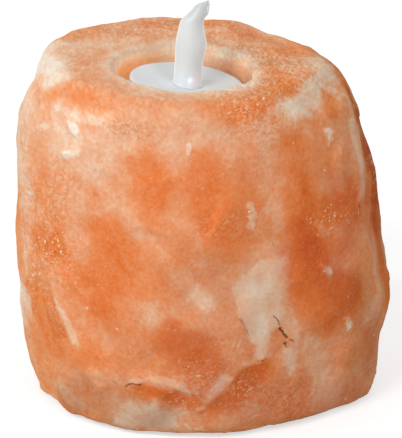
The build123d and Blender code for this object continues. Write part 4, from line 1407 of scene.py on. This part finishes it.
@dataclass
class SaltHolder:
    """The hewn stone and the felt pads that it stands on.

    Attributes:
        picture: the camera that places the stone's marks
        voxel: the size of the stone's mesh faces, in metres
        swell: the height of the widest waves in the stone's face, in metres
        ripple: the height of the finer waves
        pit: the height of the finest waves
        facet_size: the width of a hewn facet, in metres
        facet_slope: how steeply the facets lie
        facet_wear: how far the edges between facets are rounded, as a share of their size
        base_milk: how milky the plain stone is
        base_fleck: how strongly crystal flecks show in it
        clear_milk: how milky the stone is where more flecks begin to show
        clear_fleck: how strongly they show at least where it is clearest
        pale_hides: how much of the flecks the pale patches hide
        loose_crystals: how many crystals stand outside the clusters
        crystal_size: how wide those are, in metres
        crystal_rise: how far a crystal stands above the face, in metres
        crystal_tilt: how far crystals lean from the face, in radians
        crystal_chip: how far a crystal's corners are chipped, as a share of its width
        seed: where the crystals' random draws start
        pad_radius: the radius of a felt pad, in metres
        bore_axis: the middle of the well, across and along, in metres
        bore_radius: the well's radius, in metres
        bore_give: how much of the waves the well's wall takes
        top_depth: how far below the top the well's tints reach, in metres
        lip_width: how far the pale ring round the well reaches, in metres
        lip_wander: how far the ring strays, in metres
        lip_height: the lip's mean height, in metres
        lip_slope: how steeply it falls to the right
        lip_milk: how milky the ring is
        lip_front: how much milkier it is in front
        lip_left: how much clearer it is on the left
        lip_right: how much clearer it is at the right of the front
        lip_shade: how much painted shade darkens the ring at the back
        wall_milk: how milky the top of the well's wall is
        wall_fade: how much clearer it is further down
        wall_left: how much more on the left
        wall_right: how much more on the right
    """

    picture: Picture
    voxel: float = 0.9 * MM
    swell: float = 0.5 * MM
    ripple: float = 0.16 * MM
    pit: float = 0.07 * MM
    facet_size: float = 18 * MM
    facet_slope: float = 0.09
    facet_wear: float = 0.12
    base_milk: float = 0.475
    base_fleck: float = 0.16
    clear_milk: float = 0.42
    clear_fleck: float = 0.2
    pale_hides: float = 0.75
    loose_crystals: int = 300
    crystal_size: float = 0.42 * MM
    crystal_rise: float = 0.06 * MM
    crystal_tilt: float = 0.28
    crystal_chip: float = 0.25
    seed: int = 7
    pad_radius: float = 9 * MM
    bore_axis: tuple[float, float] = (-6.3 * MM, -8.0 * MM)
    bore_radius: float = 22 * MM
    bore_give: float = 0.25
    top_depth: float = 12 * MM
    lip_width: float = 4 * MM
    lip_wander: float = 1.2 * MM
    lip_height: float = 111.8 * MM
    lip_slope: float = 0.042
    lip_milk: float = 0.67
    lip_front: float = 0.18
    lip_left: float = 0.2
    lip_right: float = 0.25
    lip_shade: float = 0.22
    wall_milk: float = 0.86
    wall_fade: float = 0.04
    wall_left: float = 0.36
    wall_right: float = 0.2

    def build(self) -> list[Piece]:
        """Build and dress the stone and its pads.

        Returns:
            The finished pieces.
        """
        stone = self.build_stone()
        return [stone, self.build_crystals(stone), self.build_pads()]

    def build_stone(self) -> Piece:
        """Build the stone: the CAD block with an even mesh, hewn facets, edges and marks.

        Returns:
            The stone.
        """
        stone = new_piece("salt_stone", self.even_mesh())
        mesh = stone.data
        tree = BVHTree.FromObject(stone, bpy.context.evaluated_depsgraph_get())
        paths = {name: self.cast(tree, mark.path, mark.side) for name, mark in MARKS.items()}
        hewn = {name: self.cast(tree, relief.path, relief.side) for name, relief in RELIEFS.items()}
        rings = {name: self.cast(tree, patch.outline) for name, patch in PATCHES.items()}
        fine = [paths[name] for name, mark in MARKS.items() if mark.rise]
        fine += [rings[name] for name, patch in PATCHES.items() if patch.soft < 1]
        fine += [hewn[name] for name, relief in RELIEFS.items() if relief.form is Form.STEP]
        self.refine(mesh, fine)

        points, normals = self.read(mesh)
        height = self.facets(points) + self.waves(points)
        for name, relief in RELIEFS.items():
            height += self.hew(tree, points, relief, hewn[name])
        fields = {tint: np.zeros(len(points)) for tint in Tint}
        fields[Tint.MILK] += self.base_milk
        fields[Tint.FLECK] += self.base_fleck
        for name, mark in MARKS.items():
            shade = self.spread_mark(points, mark, paths[name])
            goal = 1.0 if mark.weight > 0 else 0.0
            fields[mark.tint] += abs(mark.weight) * shade * (goal - fields[mark.tint])
            height += mark.rise * MM * shade
        for name, patch in PATCHES.items():
            inside = 0.5 + self.depth_inside(points, rings[name]) / (3 * patch.soft * MM)
            fields[patch.tint] = np.maximum(fields[patch.tint], np.clip(inside, 0.0, 1.0))
        clear = self.clear_fleck * soft_step((self.clear_milk - fields[Tint.MILK]) / 0.25)
        fields[Tint.FLECK] = np.maximum(fields[Tint.FLECK], clear)
        self.tint_top(points, normals, fields)
        fields[Tint.FLECK] *= 1.0 - self.pale_hides * fields[Tint.PALE]
        self.write(mesh, points + normals * (height * self.free(points))[:, None], fields)

        dress(stone, RockSalt().make())
        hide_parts("salt_block")
        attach(stone, "holder")
        return stone

    def even_mesh(self) -> Mesh:
        """Give the CAD block's surface an even mesh.

        Returns:
            The new mesh, with its hewn edges a little worn.
        """
        source = new_piece("block_copy", frame["nodes"]["salt_block"].data.copy(), smooth=False)
        even = source.modifiers.new("even", "REMESH")
        even.mode = "VOXEL"
        even.voxel_size = self.voxel
        worn = source.modifiers.new("worn", "SMOOTH")
        worn.factor = 0.5
        worn.iterations = 4
        mesh = bpy.data.meshes.new_from_object(source.evaluated_get(bpy.context.evaluated_depsgraph_get()))
        bpy.data.objects.remove(source)
        return mesh

    def cast(self, tree: BVHTree, path: tuple[Pixel, ...], side: float = 0.0) -> np.ndarray:
        """Find where a view's pixels fall on the stone.

        Args:
            tree: the stone's surface
            path: the pixels
            side: the side that the view is from, in degrees round the stone

        Returns:
            One place for each pixel, in metres.
        """
        view = replace(self.picture, side=side)
        places = []
        for pixel in path:
            ray = view.ray(pixel)
            place = tree.ray_cast(view.eye, ray)[0]
            if place is None:
                place = tree.find_nearest(view.eye + ray * view.distance)[0]
            places.append(place)
        return np.array(places)

    def refine(self, mesh: Mesh, paths: list[np.ndarray]) -> None:
        """Divide the faces near fine lines, so that they have room for their shape.

        Args:
            mesh: the stone's mesh
            paths: the lines
        """
        points, _ = self.read(mesh)
        margin = 3 * MM
        near = np.zeros(len(points), dtype=bool)
        for path in paths:
            near |= distance_to_path(points, path)[0] < margin
        work = bmesh.new()
        work.from_mesh(mesh)
        work.verts.ensure_lookup_table()
        edges = [edge for edge in work.edges if near[edge.verts[0].index] and near[edge.verts[1].index]]
        bmesh.ops.subdivide_edges(work, edges=edges, cuts=3, use_grid_fill=True)
        work.to_mesh(mesh)
        work.free()
        mesh.update()

    @staticmethod
    def read(mesh: Mesh) -> tuple[np.ndarray, np.ndarray]:
        """Read a mesh's places and normals.

        Args:
            mesh: the mesh

        Returns:
            The places and the normals, one row for each vertex.
        """
        points = np.empty(len(mesh.vertices) * 3)
        normals = np.empty(len(mesh.vertices) * 3)
        mesh.vertices.foreach_get("co", points)
        mesh.vertex_normals.foreach_get("vector", normals)
        return points.reshape(-1, 3), normals.reshape(-1, 3)

    def write(self, mesh: Mesh, points: np.ndarray, fields: dict[Tint, np.ndarray]) -> None:
        """Put the worked places and measures back on the mesh, held inside the CAD block's box.

        Args:
            mesh: the stone's mesh
            points: where each vertex goes
            fields: each vertex's measures
        """
        low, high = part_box("salt_block")
        held = np.clip(points, np.array(low), np.array(high))
        mesh.vertices.foreach_set("co", held.ravel())
        for tint, values in fields.items():
            layer = mesh.attributes.new(tint.value, "FLOAT", "POINT")
            layer.data.foreach_set("value", values.astype(np.float32))
        mesh.update()

    def waves(self, points: np.ndarray) -> np.ndarray:
        """Work out the worn, wavy face of the stone.

        Args:
            points: the vertices

        Returns:
            How far each one moves outwards, in metres.
        """
        return (
            self.swell * clouds(points, 16 * MM, octaves=2, seed=1)
            + self.ripple * clouds(points, 6 * MM, octaves=2, seed=2)
            + self.pit * clouds(points, 2.4 * MM, octaves=2, seed=3)
        )

    def facets(self, points: np.ndarray) -> np.ndarray:
        """Work out the flat cleavage faces that the stone was hewn into.

        Args:
            points: the vertices

        Returns:
            How far each one moves outwards, in metres.
        """
        heights = []
        shuffle = 31.7
        half = Vector((0.5, 0.5, 0.5))
        for point in points.tolist():
            place = Vector(point) / self.facet_size
            gaps, middles = noise.voronoi(place)
            first, second = (
                (place - middle).dot(noise.cell_vector(middle * shuffle) - half) for middle in middles[:2]
            )
            share = 0.5 + 0.5 * min(1.0, (gaps[1] - gaps[0]) / self.facet_wear)
            heights.append(first * share + second * (1 - share))
        return self.facet_slope * self.facet_size * np.array(heights)

    def spread_mark(self, points: np.ndarray, mark: Mark, path: np.ndarray) -> np.ndarray:
        """Work out how strongly a mark shows at each vertex.

        Args:
            points: the vertices
            mark: the mark
            path: its places on the stone

        Returns:
            From 0 to 1 for each vertex.
        """
        reach = mark.reach * MM
        near = distance_to_path(points, path)[0] < 3 * reach
        close = points[near]
        size = max(1.1 * reach, 1.8 * MM)
        ragged = 0.4 * reach + 0.3 * MM
        wander = np.column_stack([clouds(close, size, octaves=3, seed=axis + 20) for axis in range(3)])
        gap = distance_to_path(close + ragged * wander, path)[0]
        shade = np.zeros(len(points))
        shade[near] = soft_step(1.25 - gap / reach)
        return shade

    @staticmethod
    def depth_inside(points: np.ndarray, ring: np.ndarray) -> np.ndarray:
        """Measure how deep each vertex lies inside a patch's outline.

        Args:
            points: the vertices
            ring: the outline's places on the stone

        Returns:
            The distance to the outline in metres, below 0 outside it.
        """
        middle = ring.mean(axis=0)
        axes = np.linalg.svd(ring - middle)[2]
        across, along, off = ((points - middle) @ axes.T).T
        corners = (ring - middle) @ axes.T
        inside = np.zeros(len(points), dtype=bool)
        for (x0, y0, _), (x1, y1, _) in zip(corners, np.roll(corners, -1, axis=0)):
            between = (y0 > along) != (y1 > along)
            inside ^= between & (across < x0 + (along - y0) * (x1 - x0) / ((y1 - y0) or 1.0))
        gap = distance_to_path(points, np.vstack([ring, ring[:1]]))[0]
        layer = 8 * MM
        return np.where(inside & (np.abs(off) < layer), gap, -gap)

    def hew(self, tree: BVHTree, points: np.ndarray, relief: Relief, path: np.ndarray) -> np.ndarray:
        """Work out a hewn shape's height at each vertex.

        Args:
            tree: the stone's surface
            points: the vertices
            relief: the shape
            path: its places on the stone

        Returns:
            How far each vertex moves outwards, in metres.
        """
        gap, nearest = distance_to_path(points, path)
        reach = relief.reach * MM
        fall = np.exp(-((gap / reach) ** 2))
        if relief.form is Form.CREST:
            fall = np.exp(-gap / reach) * (gap < 4 * reach)
        elif relief.form is Form.STEP:
            across, down = relief.high_side
            aside = self.cast(tree, tuple((x + across, y + down) for x, y in relief.path), relief.side)
            towards = (aside - path).mean(axis=0)
            towards /= np.linalg.norm(towards)
            width = 0.5 * MM
            curl = width * clouds(points, 4 * MM, octaves=2, seed=9)
            fall *= np.tanh(((points - nearest) @ towards + curl) / width)
        return relief.rise * MM * fall

    def tint_top(self, points: np.ndarray, normals: np.ndarray, fields: dict[Tint, np.ndarray]) -> None:
        """Add the dusty top with painted shade, the pale worn lip with painted shade at its back, and the
        painted glow on the well's wall.

        Args:
            points: the vertices
            normals: the way that each one faces
            fields: each vertex's measures, which are changed
        """
        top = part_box("salt_block")[1][2]
        high = points[:, 2] > top - self.top_depth
        across, along, radius = self.from_bore(points)
        flat = np.clip(normals[:, 2], 0.0, 1.0) ** 2 * (radius > self.bore_radius)
        for tint, share in DUST_AND_TOP_SHADE.items():
            fields[tint] += share * flat * (1.0 - fields[tint])

        milk = fields[Tint.MILK]
        lip = radius - self.bore_radius + self.lip_wander * clouds(points, 7 * MM, octaves=3, seed=12)
        front, back, left, right = (soft_step(way / radius) for way in (-along, along, -across, across))
        reach = self.lip_width * (1.0 + 0.6 * front)
        worn = self.lip_milk + self.lip_front * front - self.lip_left * left - self.lip_right * front * right
        milk += high * worn * np.exp(-(((lip - self.lip_wander) / reach) ** 2)) * (1.0 - milk)
        wall = high * soft_step((self.bore_radius + 1.1 * MM - radius) / (0.9 * MM))
        depth = self.lip_height - self.lip_slope * across - points[:, 2]
        fade = self.wall_fade + self.wall_left * left + self.wall_right * right
        milk += wall * (self.wall_milk - fade * soft_step((depth - 0.8 * MM) / (5.0 * MM)) - milk)
        inner = soft_step(depth / (4.0 * MM))
        # Painted glow on the well's wall, strongest on the left, where the wall lies in shade
        fields[Tint.LIT] += wall * inner * np.maximum(soft_step(0.3 - 0.75 * across / radius), 0.2)
        # Painted shade on the back of the lip
        fields[Tint.SHADE] += self.lip_shade * high * back * np.exp(-((lip / self.lip_width) ** 2))

    def from_bore(self, points: np.ndarray) -> tuple[np.ndarray, np.ndarray, np.ndarray]:
        """Measure where points lie from the well's axis.

        Args:
            points: the vertices

        Returns:
            How far each one is from the axis across, along and in all, in metres.
        """
        across = points[:, 0] - self.bore_axis[0]
        along = points[:, 1] - self.bore_axis[1]
        return across, along, np.hypot(across, along)

    def free(self, points: np.ndarray) -> np.ndarray:
        """Work out how free each vertex is to move: only a little in the well."""
        inside = self.from_bore(points)[2] < self.bore_radius + 0.5 * MM
        return np.where(inside, self.bore_give, 1.0)

    def build_crystals(self, stone: Piece) -> Piece:
        """Build the small salt crystals that stand in the stone's face.

        Args:
            stone: the finished stone

        Returns:
            The crystals, as one piece.
        """
        draw = np.random.default_rng(self.seed)
        noise.seed_set(self.seed)
        tree = BVHTree.FromObject(stone, bpy.context.evaluated_depsgraph_get())
        seeds = []
        for cluster in CLUSTERS.values():
            middle = Vector(self.cast(tree, (cluster.pixel,), cluster.side)[0])
            for _ in range(cluster.count):
                aside = Vector(draw.normal(0.0, 0.55, 3)) * cluster.spread * MM
                seeds.append((middle + aside, cluster.size * MM))
        low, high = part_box("salt_block")
        for _ in range(self.loose_crystals):
            seeds.append((Vector(draw.uniform(low, high)), self.crystal_size))

        work = bmesh.new()
        tone = work.verts.layers.float.new("tone")
        for place, size in seeds:
            width = size * draw.lognormal(0.0, 0.35)
            sides = width * draw.uniform(0.45, 1.25, 3)
            spin = Matrix.Rotation(draw.uniform(0.0, math.tau), 3, "Z")
            tilt = Euler((*draw.normal(0.0, self.crystal_tilt, 2), 0.0)).to_matrix()
            shade = draw.uniform(0.0, 1.0)
            foot, normal = tree.find_nearest(place)[:2]
            if self.takes_crystal(foot, normal, low, high):
                stand = normal.to_track_quat("Z", "Y").to_matrix() @ tilt @ spin
                middle = foot - normal * (0.5 * sides[2] - self.crystal_rise)
                self.add_crystal(work, middle, sides, stand, tone, shade)
        crystals = piece_from("salt_crystals", work, smooth=False)
        dress(crystals, SaltCrystal().make())
        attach(crystals, "holder")
        return crystals

    def takes_crystal(self, foot: Vector, normal: Vector, low: Vector, high: Vector) -> bool:
        """Tell whether a crystal may stand at a place: not in the well, underneath or at the box's sides.

        Args:
            foot: the place
            normal: the way that the face looks there
            low: the stone's lowest corner
            high: its highest corner

        Returns:
            Whether there is room for a crystal.
        """
        room = 1.5 * MM
        underneath = -0.6
        inside = all(low[i] + room < foot[i] < high[i] - room for i in range(3))
        from_well = math.hypot(foot.x - self.bore_axis[0], foot.y - self.bore_axis[1])
        return inside and normal.z > underneath and from_well > self.bore_radius + room

    def add_crystal(
        self, work: Work, middle: Vector, sides: np.ndarray, stand: Matrix, tone: Layer, shade: float
    ) -> None:
        """Add one square crystal to a mesh.

        Args:
            work: the mesh
            middle: the crystal's middle
            sides: its three widths
            stand: the way that it stands
            tone: the layer that keeps its shade
            shade: its shade, from 0 to 1
        """
        place = Matrix.Translation(middle) @ stand.to_4x4() @ Matrix.Diagonal((*sides, 1.0))
        for vert in bmesh.ops.create_cube(work, size=1.0)["verts"]:
            chip = self.crystal_chip * noise.noise_vector(middle / (0.3 * MM) + vert.co * 5)
            vert.co = place @ (vert.co + Vector((chip.x, chip.y, 0.0)))
            vert[tone] = shade

    def build_pads(self) -> Piece:
        """Build the four felt pads, each with a soft worn edge.

        Returns:
            The pads, as one piece.
        """
        low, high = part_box("felt_feet")
        radius = self.pad_radius
        work = bmesh.new()
        for x in (low[0] + radius, high[0] - radius):
            for y in (low[1] + radius, high[1] - radius):
                self.add_pad(work, Vector((x, y, low[2])), radius, high[2] - low[2])
        pads = piece_from("felt_pads", work)
        dress(pads, Felt().make())
        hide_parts("felt_feet")
        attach(pads, "holder")
        return pads

    @staticmethod
    def add_pad(work: Work, foot: Vector, radius: float, thickness: float) -> None:
        """Add one felt pad to a mesh.

        Args:
            work: the mesh
            foot: the middle of the pad's underside
            radius: the pad's radius
            thickness: the pad's thickness
        """
        rounding = 0.4 * MM
        profile = [(radius * share, 0.0) for share in (0.25, 0.5, 0.75)]
        profile += [(radius - rounding, 0.0), (radius, rounding)]
        profile += [(radius, thickness - rounding), (radius - rounding, thickness)]
        profile += [(radius * share, thickness) for share in (0.75, 0.5, 0.25)]
        sides = 48
        fray, tufts, change = 0.012, 6, 90
        rings = []
        for reach, height in profile:
            ring = []
            for i in range(sides):
                across, along = math.cos(math.tau * i / sides), math.sin(math.tau * i / sides)
                spot = Vector((across * tufts, along * tufts, foot.x * change))
                out = reach * (1 + fray * noise.noise(spot))
                ring.append(work.verts.new(foot + Vector((out * across, out * along, height))))
            rings.append(ring)
        close_rings(work, rings)


@dataclass(frozen=True)
class FlameRing:
    """One level of the moulded flame.

    Attributes:
        height: share of the flame's height
        drift: sideways place, in millimetres
        width: half its width, in millimetres
        depth: half its depth, in millimetres
    """

    height: float
    drift: float
    width: float
    depth: float


FLAME_RINGS: tuple[FlameRing, ...] = (
    FlameRing(0.000, 0.00, 4.60, 4.60),
    FlameRing(0.125, -0.18, 4.51, 4.51),
    FlameRing(0.250, -0.46, 4.46, 4.42),
    FlameRing(0.375, -0.51, 4.69, 4.42),
    FlameRing(0.500, -0.60, 4.85, 4.28),
    FlameRing(0.625, -1.06, 4.19, 3.82),
    FlameRing(0.750, -1.10, 3.45, 3.08),
    FlameRing(0.875, 0.62, 2.35, 2.00),
    FlameRing(0.940, 1.25, 1.70, 1.20),
    FlameRing(1.000, 2.85, 0.40, 0.35),
)


# Across, up and half thickness, in millimetres, down the strand at the flame's tip
STRAND: tuple[Triple, ...] = (
    (2.85, 28.60, 0.20),
    (3.30, 27.80, 0.30),
    (3.48, 26.60, 0.30),
    (3.42, 25.20, 0.30),
    (2.95, 23.90, 0.35),
    (2.20, 22.90, 0.35),
)


@dataclass
class TeaLight:
    """The battery tea light: its shell, its flame and the works inside.

    Attributes:
        cell_offset: how far the battery door's axis is from the middle, in metres
        flame_foot: the height of the flame's foot above the tea light's underside, in metres
        flame_height: the flame's height, in metres
        flame_levels: how many rings of vertices the flame has
        flame_sides: how many vertices are in each ring
        flame_lens: how sharp the flame's two edges are
        lens_rate: how quickly they sharpen above the foot
        flame_bead: how far the moulding line stands out, in metres
        bead_rate: how quickly it grows above the foot
        bead_thin: how thin it is
        flame_flare: how far the foot spreads on the shell, in metres
        flare_height: the spread's share of the flame's height
        light_offset: how far the light is to the right of the middle, in metres
        light_height: the height of the light's middle above the foot, in metres
        light_size: the radius of the spot, in metres
        light_flat: how much wider than high the spot is
        halo_size: how much wider and higher the halo round it is
        halo_share: the halo's share of the light
        tip_rate: how quickly the flame thins out towards its tip
    """

    cell_offset: float = -4 * MM
    flame_foot: float = 18.6 * MM
    flame_height: float = 28.8 * MM
    flame_levels: int = 97
    flame_sides: int = 80
    flame_lens: float = 0.35
    lens_rate: float = 6.0
    flame_bead: float = 0.15 * MM
    bead_rate: float = 8.0
    bead_thin: int = 40
    flame_flare: float = 0.5 * MM
    flare_height: float = 0.03
    light_offset: float = 0.5 * MM
    light_height: float = 2.8 * MM
    light_size: float = 1.1 * MM
    light_flat: float = 1.5
    halo_size: tuple[float, float] = (2.2, 1.6)
    halo_share: float = 0.25
    tip_rate: float = 2.4

    def build(self) -> list[Piece]:
        """Build the flame and dress every other node.

        Returns:
            The finished pieces.
        """
        return [self.build_flame(), *self.dress_nodes()]

    @property
    def stand(self) -> Matrix:
        """The leaning frame that the tea light stands in, read from the battery door's joint.

        Returns:
            The way from the tea light's own places to the scene's.
        """
        joint = next(
            joint for joint in frame["record"]["behaviour"]["joints"] if joint["name"] == "battery_door_turn"
        )
        up = Vector(joint["axis"]).normalized()
        along = Vector((0.0, 1.0, 0.0))
        across = along.cross(up)
        origin = Vector(joint["pos_m"]) - across * self.cell_offset
        turn = Matrix((across, along, up)).transposed().to_4x4()
        return Matrix.Translation(origin) @ turn

    def build_flame(self) -> Piece:
        """Build the wavy flame with its moulding edges and its thin, turned tip.

        Returns:
            The flame.
        """
        shares = np.linspace(0.0, 1.0, self.flame_levels)
        drift, width, depth = (self.smooth(name, shares) for name in ("drift", "width", "depth"))
        work = bmesh.new()
        layers = {name: work.verts.layers.float.new(name) for name in ("glow", "side", "edge", "tip")}
        rings = []
        for share, aside, wide, deep in zip(shares, drift, width, depth):
            lens = self.flame_lens * min(1.0, self.lens_rate * share)
            flare = self.flame_flare * max(0.0, 1 - share / self.flare_height) ** 2
            ring = []
            for i in range(self.flame_sides):
                turn = math.tau * i / self.flame_sides
                across = math.cos(turn)
                along = math.sin(turn)
                edge = abs(across) ** self.bead_thin * min(1.0, self.bead_rate * share)
                place = Vector((aside, 0.0, 0.0)) * MM
                place.x += (wide * MM + flare + self.flame_bead * edge) * across
                place.y += (deep * MM + flare) * along * abs(along) ** lens
                place.z += self.flame_foot + share * self.flame_height
                vert = work.verts.new(place)
                self.light_vertex(vert, layers, share)
                vert[layers["edge"]] = edge
                ring.append(vert)
            rings.append(ring)
        close_rings(work, rings)
        self.add_strand(work, layers)
        flame = piece_from("flame_moulding", work)
        flame.data.transform(self.stand)
        dress(flame, FlamePlastic().make())
        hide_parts("flame")
        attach(flame, "tea_light")
        return flame

    def light_vertex(self, vert: bmesh.types.BMVert, layers: dict[str, Layer], share: float) -> None:
        """Measure how near a vertex of the flame is to the light and to the tip.

        Args:
            vert: the vertex, before the flame is leaned
            layers: where its measures go
            share: its share of the flame's height
        """
        across = (vert.co.x - self.light_offset) / self.light_size
        up = (vert.co.z - self.flame_foot - self.light_height) / self.light_size
        wide, high = self.halo_size
        core = math.exp(-(across**2) - (self.light_flat * up) ** 2)
        halo = math.exp(-((across / wide) ** 2) - (up / high) ** 2)
        vert[layers["glow"]] = (1 - self.halo_share) * core + self.halo_share * halo
        vert[layers["side"]] = 0.5 + 0.5 * halo * max(-1.0, min(1.0, across))
        vert[layers["tip"]] = float(soft_step(np.array(1 - self.tip_rate * (1 - share))))

    def add_strand(self, work: Work, layers: dict[str, Layer]) -> None:
        """Add the thin strand that turns down from the flame's tip.

        Args:
            work: the flame's mesh
            layers: the flame's measures
        """
        sides = 12
        rings = []
        for across, up, thick in STRAND:
            ring = []
            for i in range(sides):
                turn = math.tau * i / sides
                place = Vector((across + thick * math.cos(turn), thick * math.sin(turn), up)) * MM
                place.z += self.flame_foot
                vert = work.verts.new(place)
                vert[layers["side"]] = 0.5
                vert[layers["tip"]] = 1.0
                ring.append(vert)
            rings.append(ring)
        close_rings(work, rings)

    @staticmethod
    def smooth(name: str, shares: np.ndarray) -> np.ndarray:
        """Draw a smooth curve through one of the flame rings' measures.

        Args:
            name: the measure's name
            shares: the heights to read it at

        Returns:
            The measure at each share.
        """
        heights = np.array([ring.height for ring in FLAME_RINGS])
        values = np.array([getattr(ring, name) for ring in FLAME_RINGS])
        slopes = np.gradient(values, heights)
        at = np.clip(np.searchsorted(heights, shares) - 1, 0, len(heights) - 2)
        span = heights[at + 1] - heights[at]
        t = (shares - heights[at]) / span
        return (
            (2 * t**3 - 3 * t**2 + 1) * values[at]
            + (t**3 - 2 * t**2 + t) * span * slopes[at]
            + (-2 * t**3 + 3 * t**2) * values[at + 1]
            + (t**3 - t**2) * span * slopes[at + 1]
        )

    @staticmethod
    def dress_nodes() -> list[Piece]:
        """Give each node of the tea light its finish.

        Returns:
            The nodes' objects.
        """
        white = MouldedPlastic(
            "white_plastic", paint(214, 218, 220), paint(206, 210, 212), rough=0.36, milky=0.3
        )
        nickel = Metal("cell_steel", paint(196, 196, 192), paint(170, 168, 162), rough=0.28)
        brass = Metal("contact_brass", paint(206, 170, 96), paint(168, 130, 66), rough=0.32)
        tin = Metal("tinplate", paint(186, 188, 188), paint(158, 158, 154), rough=0.34)
        wire = Metal("tinned_wire", paint(204, 206, 206), paint(176, 176, 172), rough=0.22)
        steel = Metal("screw_steel", paint(172, 172, 174), paint(134, 132, 130), rough=0.3)
        black = MouldedPlastic("black_plastic", paint(34, 34, 36), paint(46, 46, 48), rough=0.45)
        knob = MouldedPlastic("switch_plastic", paint(30, 30, 32), paint(44, 44, 46), rough=0.5)
        blob = MouldedPlastic("black_resin", paint(20, 20, 21), paint(32, 32, 34), rough=0.22)
        gasket = MouldedPlastic("gasket_plastic", paint(188, 186, 178), paint(168, 166, 158), rough=0.5)
        finishes: dict[Finish, tuple[str, ...]] = {
            white: ("candle_shell", "base_plate", "battery_door"),
            LedResin(): ("led_lens",),
            wire: ("led_anode_lead", "led_cathode_lead"),
            Laminate(): ("circuit_board",),
            blob: ("chip_blob",),
            steel: ("board_screws",),
            tin: ("switch_case", "switch_pins"),
            brass: ("positive_contact", "negative_contact", "switch_wiper"),
            nickel: ("coin_cell_can", "coin_cell_cap"),
            gasket: ("coin_cell_gasket",),
            black: ("switch_base",),
            knob: ("switch_knob",),
        }
        dressed = []
        for finish, names in finishes.items():
            material = finish.make()
            for name in names:
                dress(frame["nodes"][name], material)
                dressed.append(frame["nodes"][name])
        return dressed


@dataclass(frozen=True)
class SoftBox:
    """A large soft studio light.

    Attributes:
        name: the light's name
        place: where it stands, in metres
        size: its width, in metres
        power: its power, in watts
    """

    name: str
    place: Triple
    size: float
    power: float


@dataclass
class Studio:
    """The floor, the soft light and the white surroundings.

    Attributes:
        picture: the photograph's frame
        floor_size: the floor's width, in metres
        fill: the strength of the light from all round
    """

    picture: Picture
    floor_size: float = 6.0
    fill: float = 0.4

    def build(self) -> None:
        """Set the camera, the floor, the lights and the view."""
        self.picture.place_camera()
        self.build_floor()
        self.surround()
        aim = self.picture.aim
        for box in (
            SoftBox("key_light", (-0.75, -1.08, 1.12), 0.55, 12.4),
            SoftBox("side_light", (-1.3, -0.4, 0.9), 0.16, 5.6),
            SoftBox("front_light", (0.75, -1.15, 1.1), 0.5, 6.2),
            SoftBox("rim_light", (0.1, 0.9, 0.9), 0.6, 1.2),
        ):
            lamp = bpy.data.lights.new(box.name, "AREA")
            lamp.size = box.size
            lamp.energy = box.power
            stand = bpy.data.objects.new(box.name, lamp)
            stand.location = box.place
            stand.rotation_euler = (Vector(box.place) - aim).to_track_quat("Z", "Y").to_euler()
            bpy.context.scene.collection.objects.link(stand)
        bpy.context.scene.view_settings.view_transform = "Standard"

    def build_floor(self) -> None:
        """Lay the pale floor, which keeps the lamp's shadow."""
        half = self.floor_size / 2
        mesh = bpy.data.meshes.new("floor")
        corners = [(-half, -half, 0.0), (half, -half, 0.0), (half, half, 0.0), (-half, half, 0.0)]
        mesh.from_pydata(corners, [], [(0, 1, 2, 3)])
        floor = new_piece("floor", mesh, smooth=False)
        sheet = NodeSheet("floor_paper")
        fibre = sheet.noise(2 * MM, detail=3)
        sheet.feed(sheet.blend(fibre, paint(192, 192, 192), paint(186, 186, 186)), "Base Color")
        sheet.set(Roughness=0.9, Emission_Color=(1.0, 1.0, 1.0, 1.0))
        seen = self.seen_rays(sheet.tree)
        sheet.feed(sheet.scale(seen, 0.0, 0.6), "Emission Strength")
        dress(floor, sheet.material)

    @staticmethod
    def seen_rays(tree: bpy.types.NodeTree) -> Socket:
        """Tell the rays that show the background from those that only carry light.

        Args:
            tree: the nodes to add to

        Returns:
            1 for a ray from the camera, a mirror or a lens.
        """
        path = tree.nodes.new("ShaderNodeLightPath")
        seen = path.outputs["Is Camera Ray"]
        for name in ("Is Glossy Ray", "Is Transmission Ray"):
            either = tree.nodes.new("ShaderNodeMath")
            either.operation = "MAXIMUM"
            tree.links.new(seen, either.inputs[0])
            tree.links.new(path.outputs[name], either.inputs[1])
            seen = either.outputs[0]
        return seen

    def surround(self) -> None:
        """Surround the scene with soft light that is seen as white."""
        world = bpy.data.worlds.new("studio")
        world.use_nodes = True
        tree = world.node_tree
        backdrop = tree.nodes["Background"]
        backdrop.inputs["Color"].default_value = (1.0, 1.0, 1.0, 1.0)
        level = tree.nodes.new("ShaderNodeMapRange")
        level.inputs["To Min"].default_value = self.fill
        level.inputs["To Max"].default_value = 1.0
        tree.links.new(self.seen_rays(tree), level.inputs["Value"])
        tree.links.new(level.outputs["Result"], backdrop.inputs["Strength"])
        bpy.context.scene.world = world


def main() -> None:
    """Build the studio, the stone and the tea light, and report each piece."""
    logging.basicConfig(level=logging.INFO, format="%(name)s: %(message)s")
    picture = Picture()
    Studio(picture).build()
    for assembly in (SaltHolder(picture), TeaLight()):
        for piece in assembly.build():
            log.info("%s: %d faces", piece.name, len(piece.data.polygons))


if __name__ == "__main__":
    main()
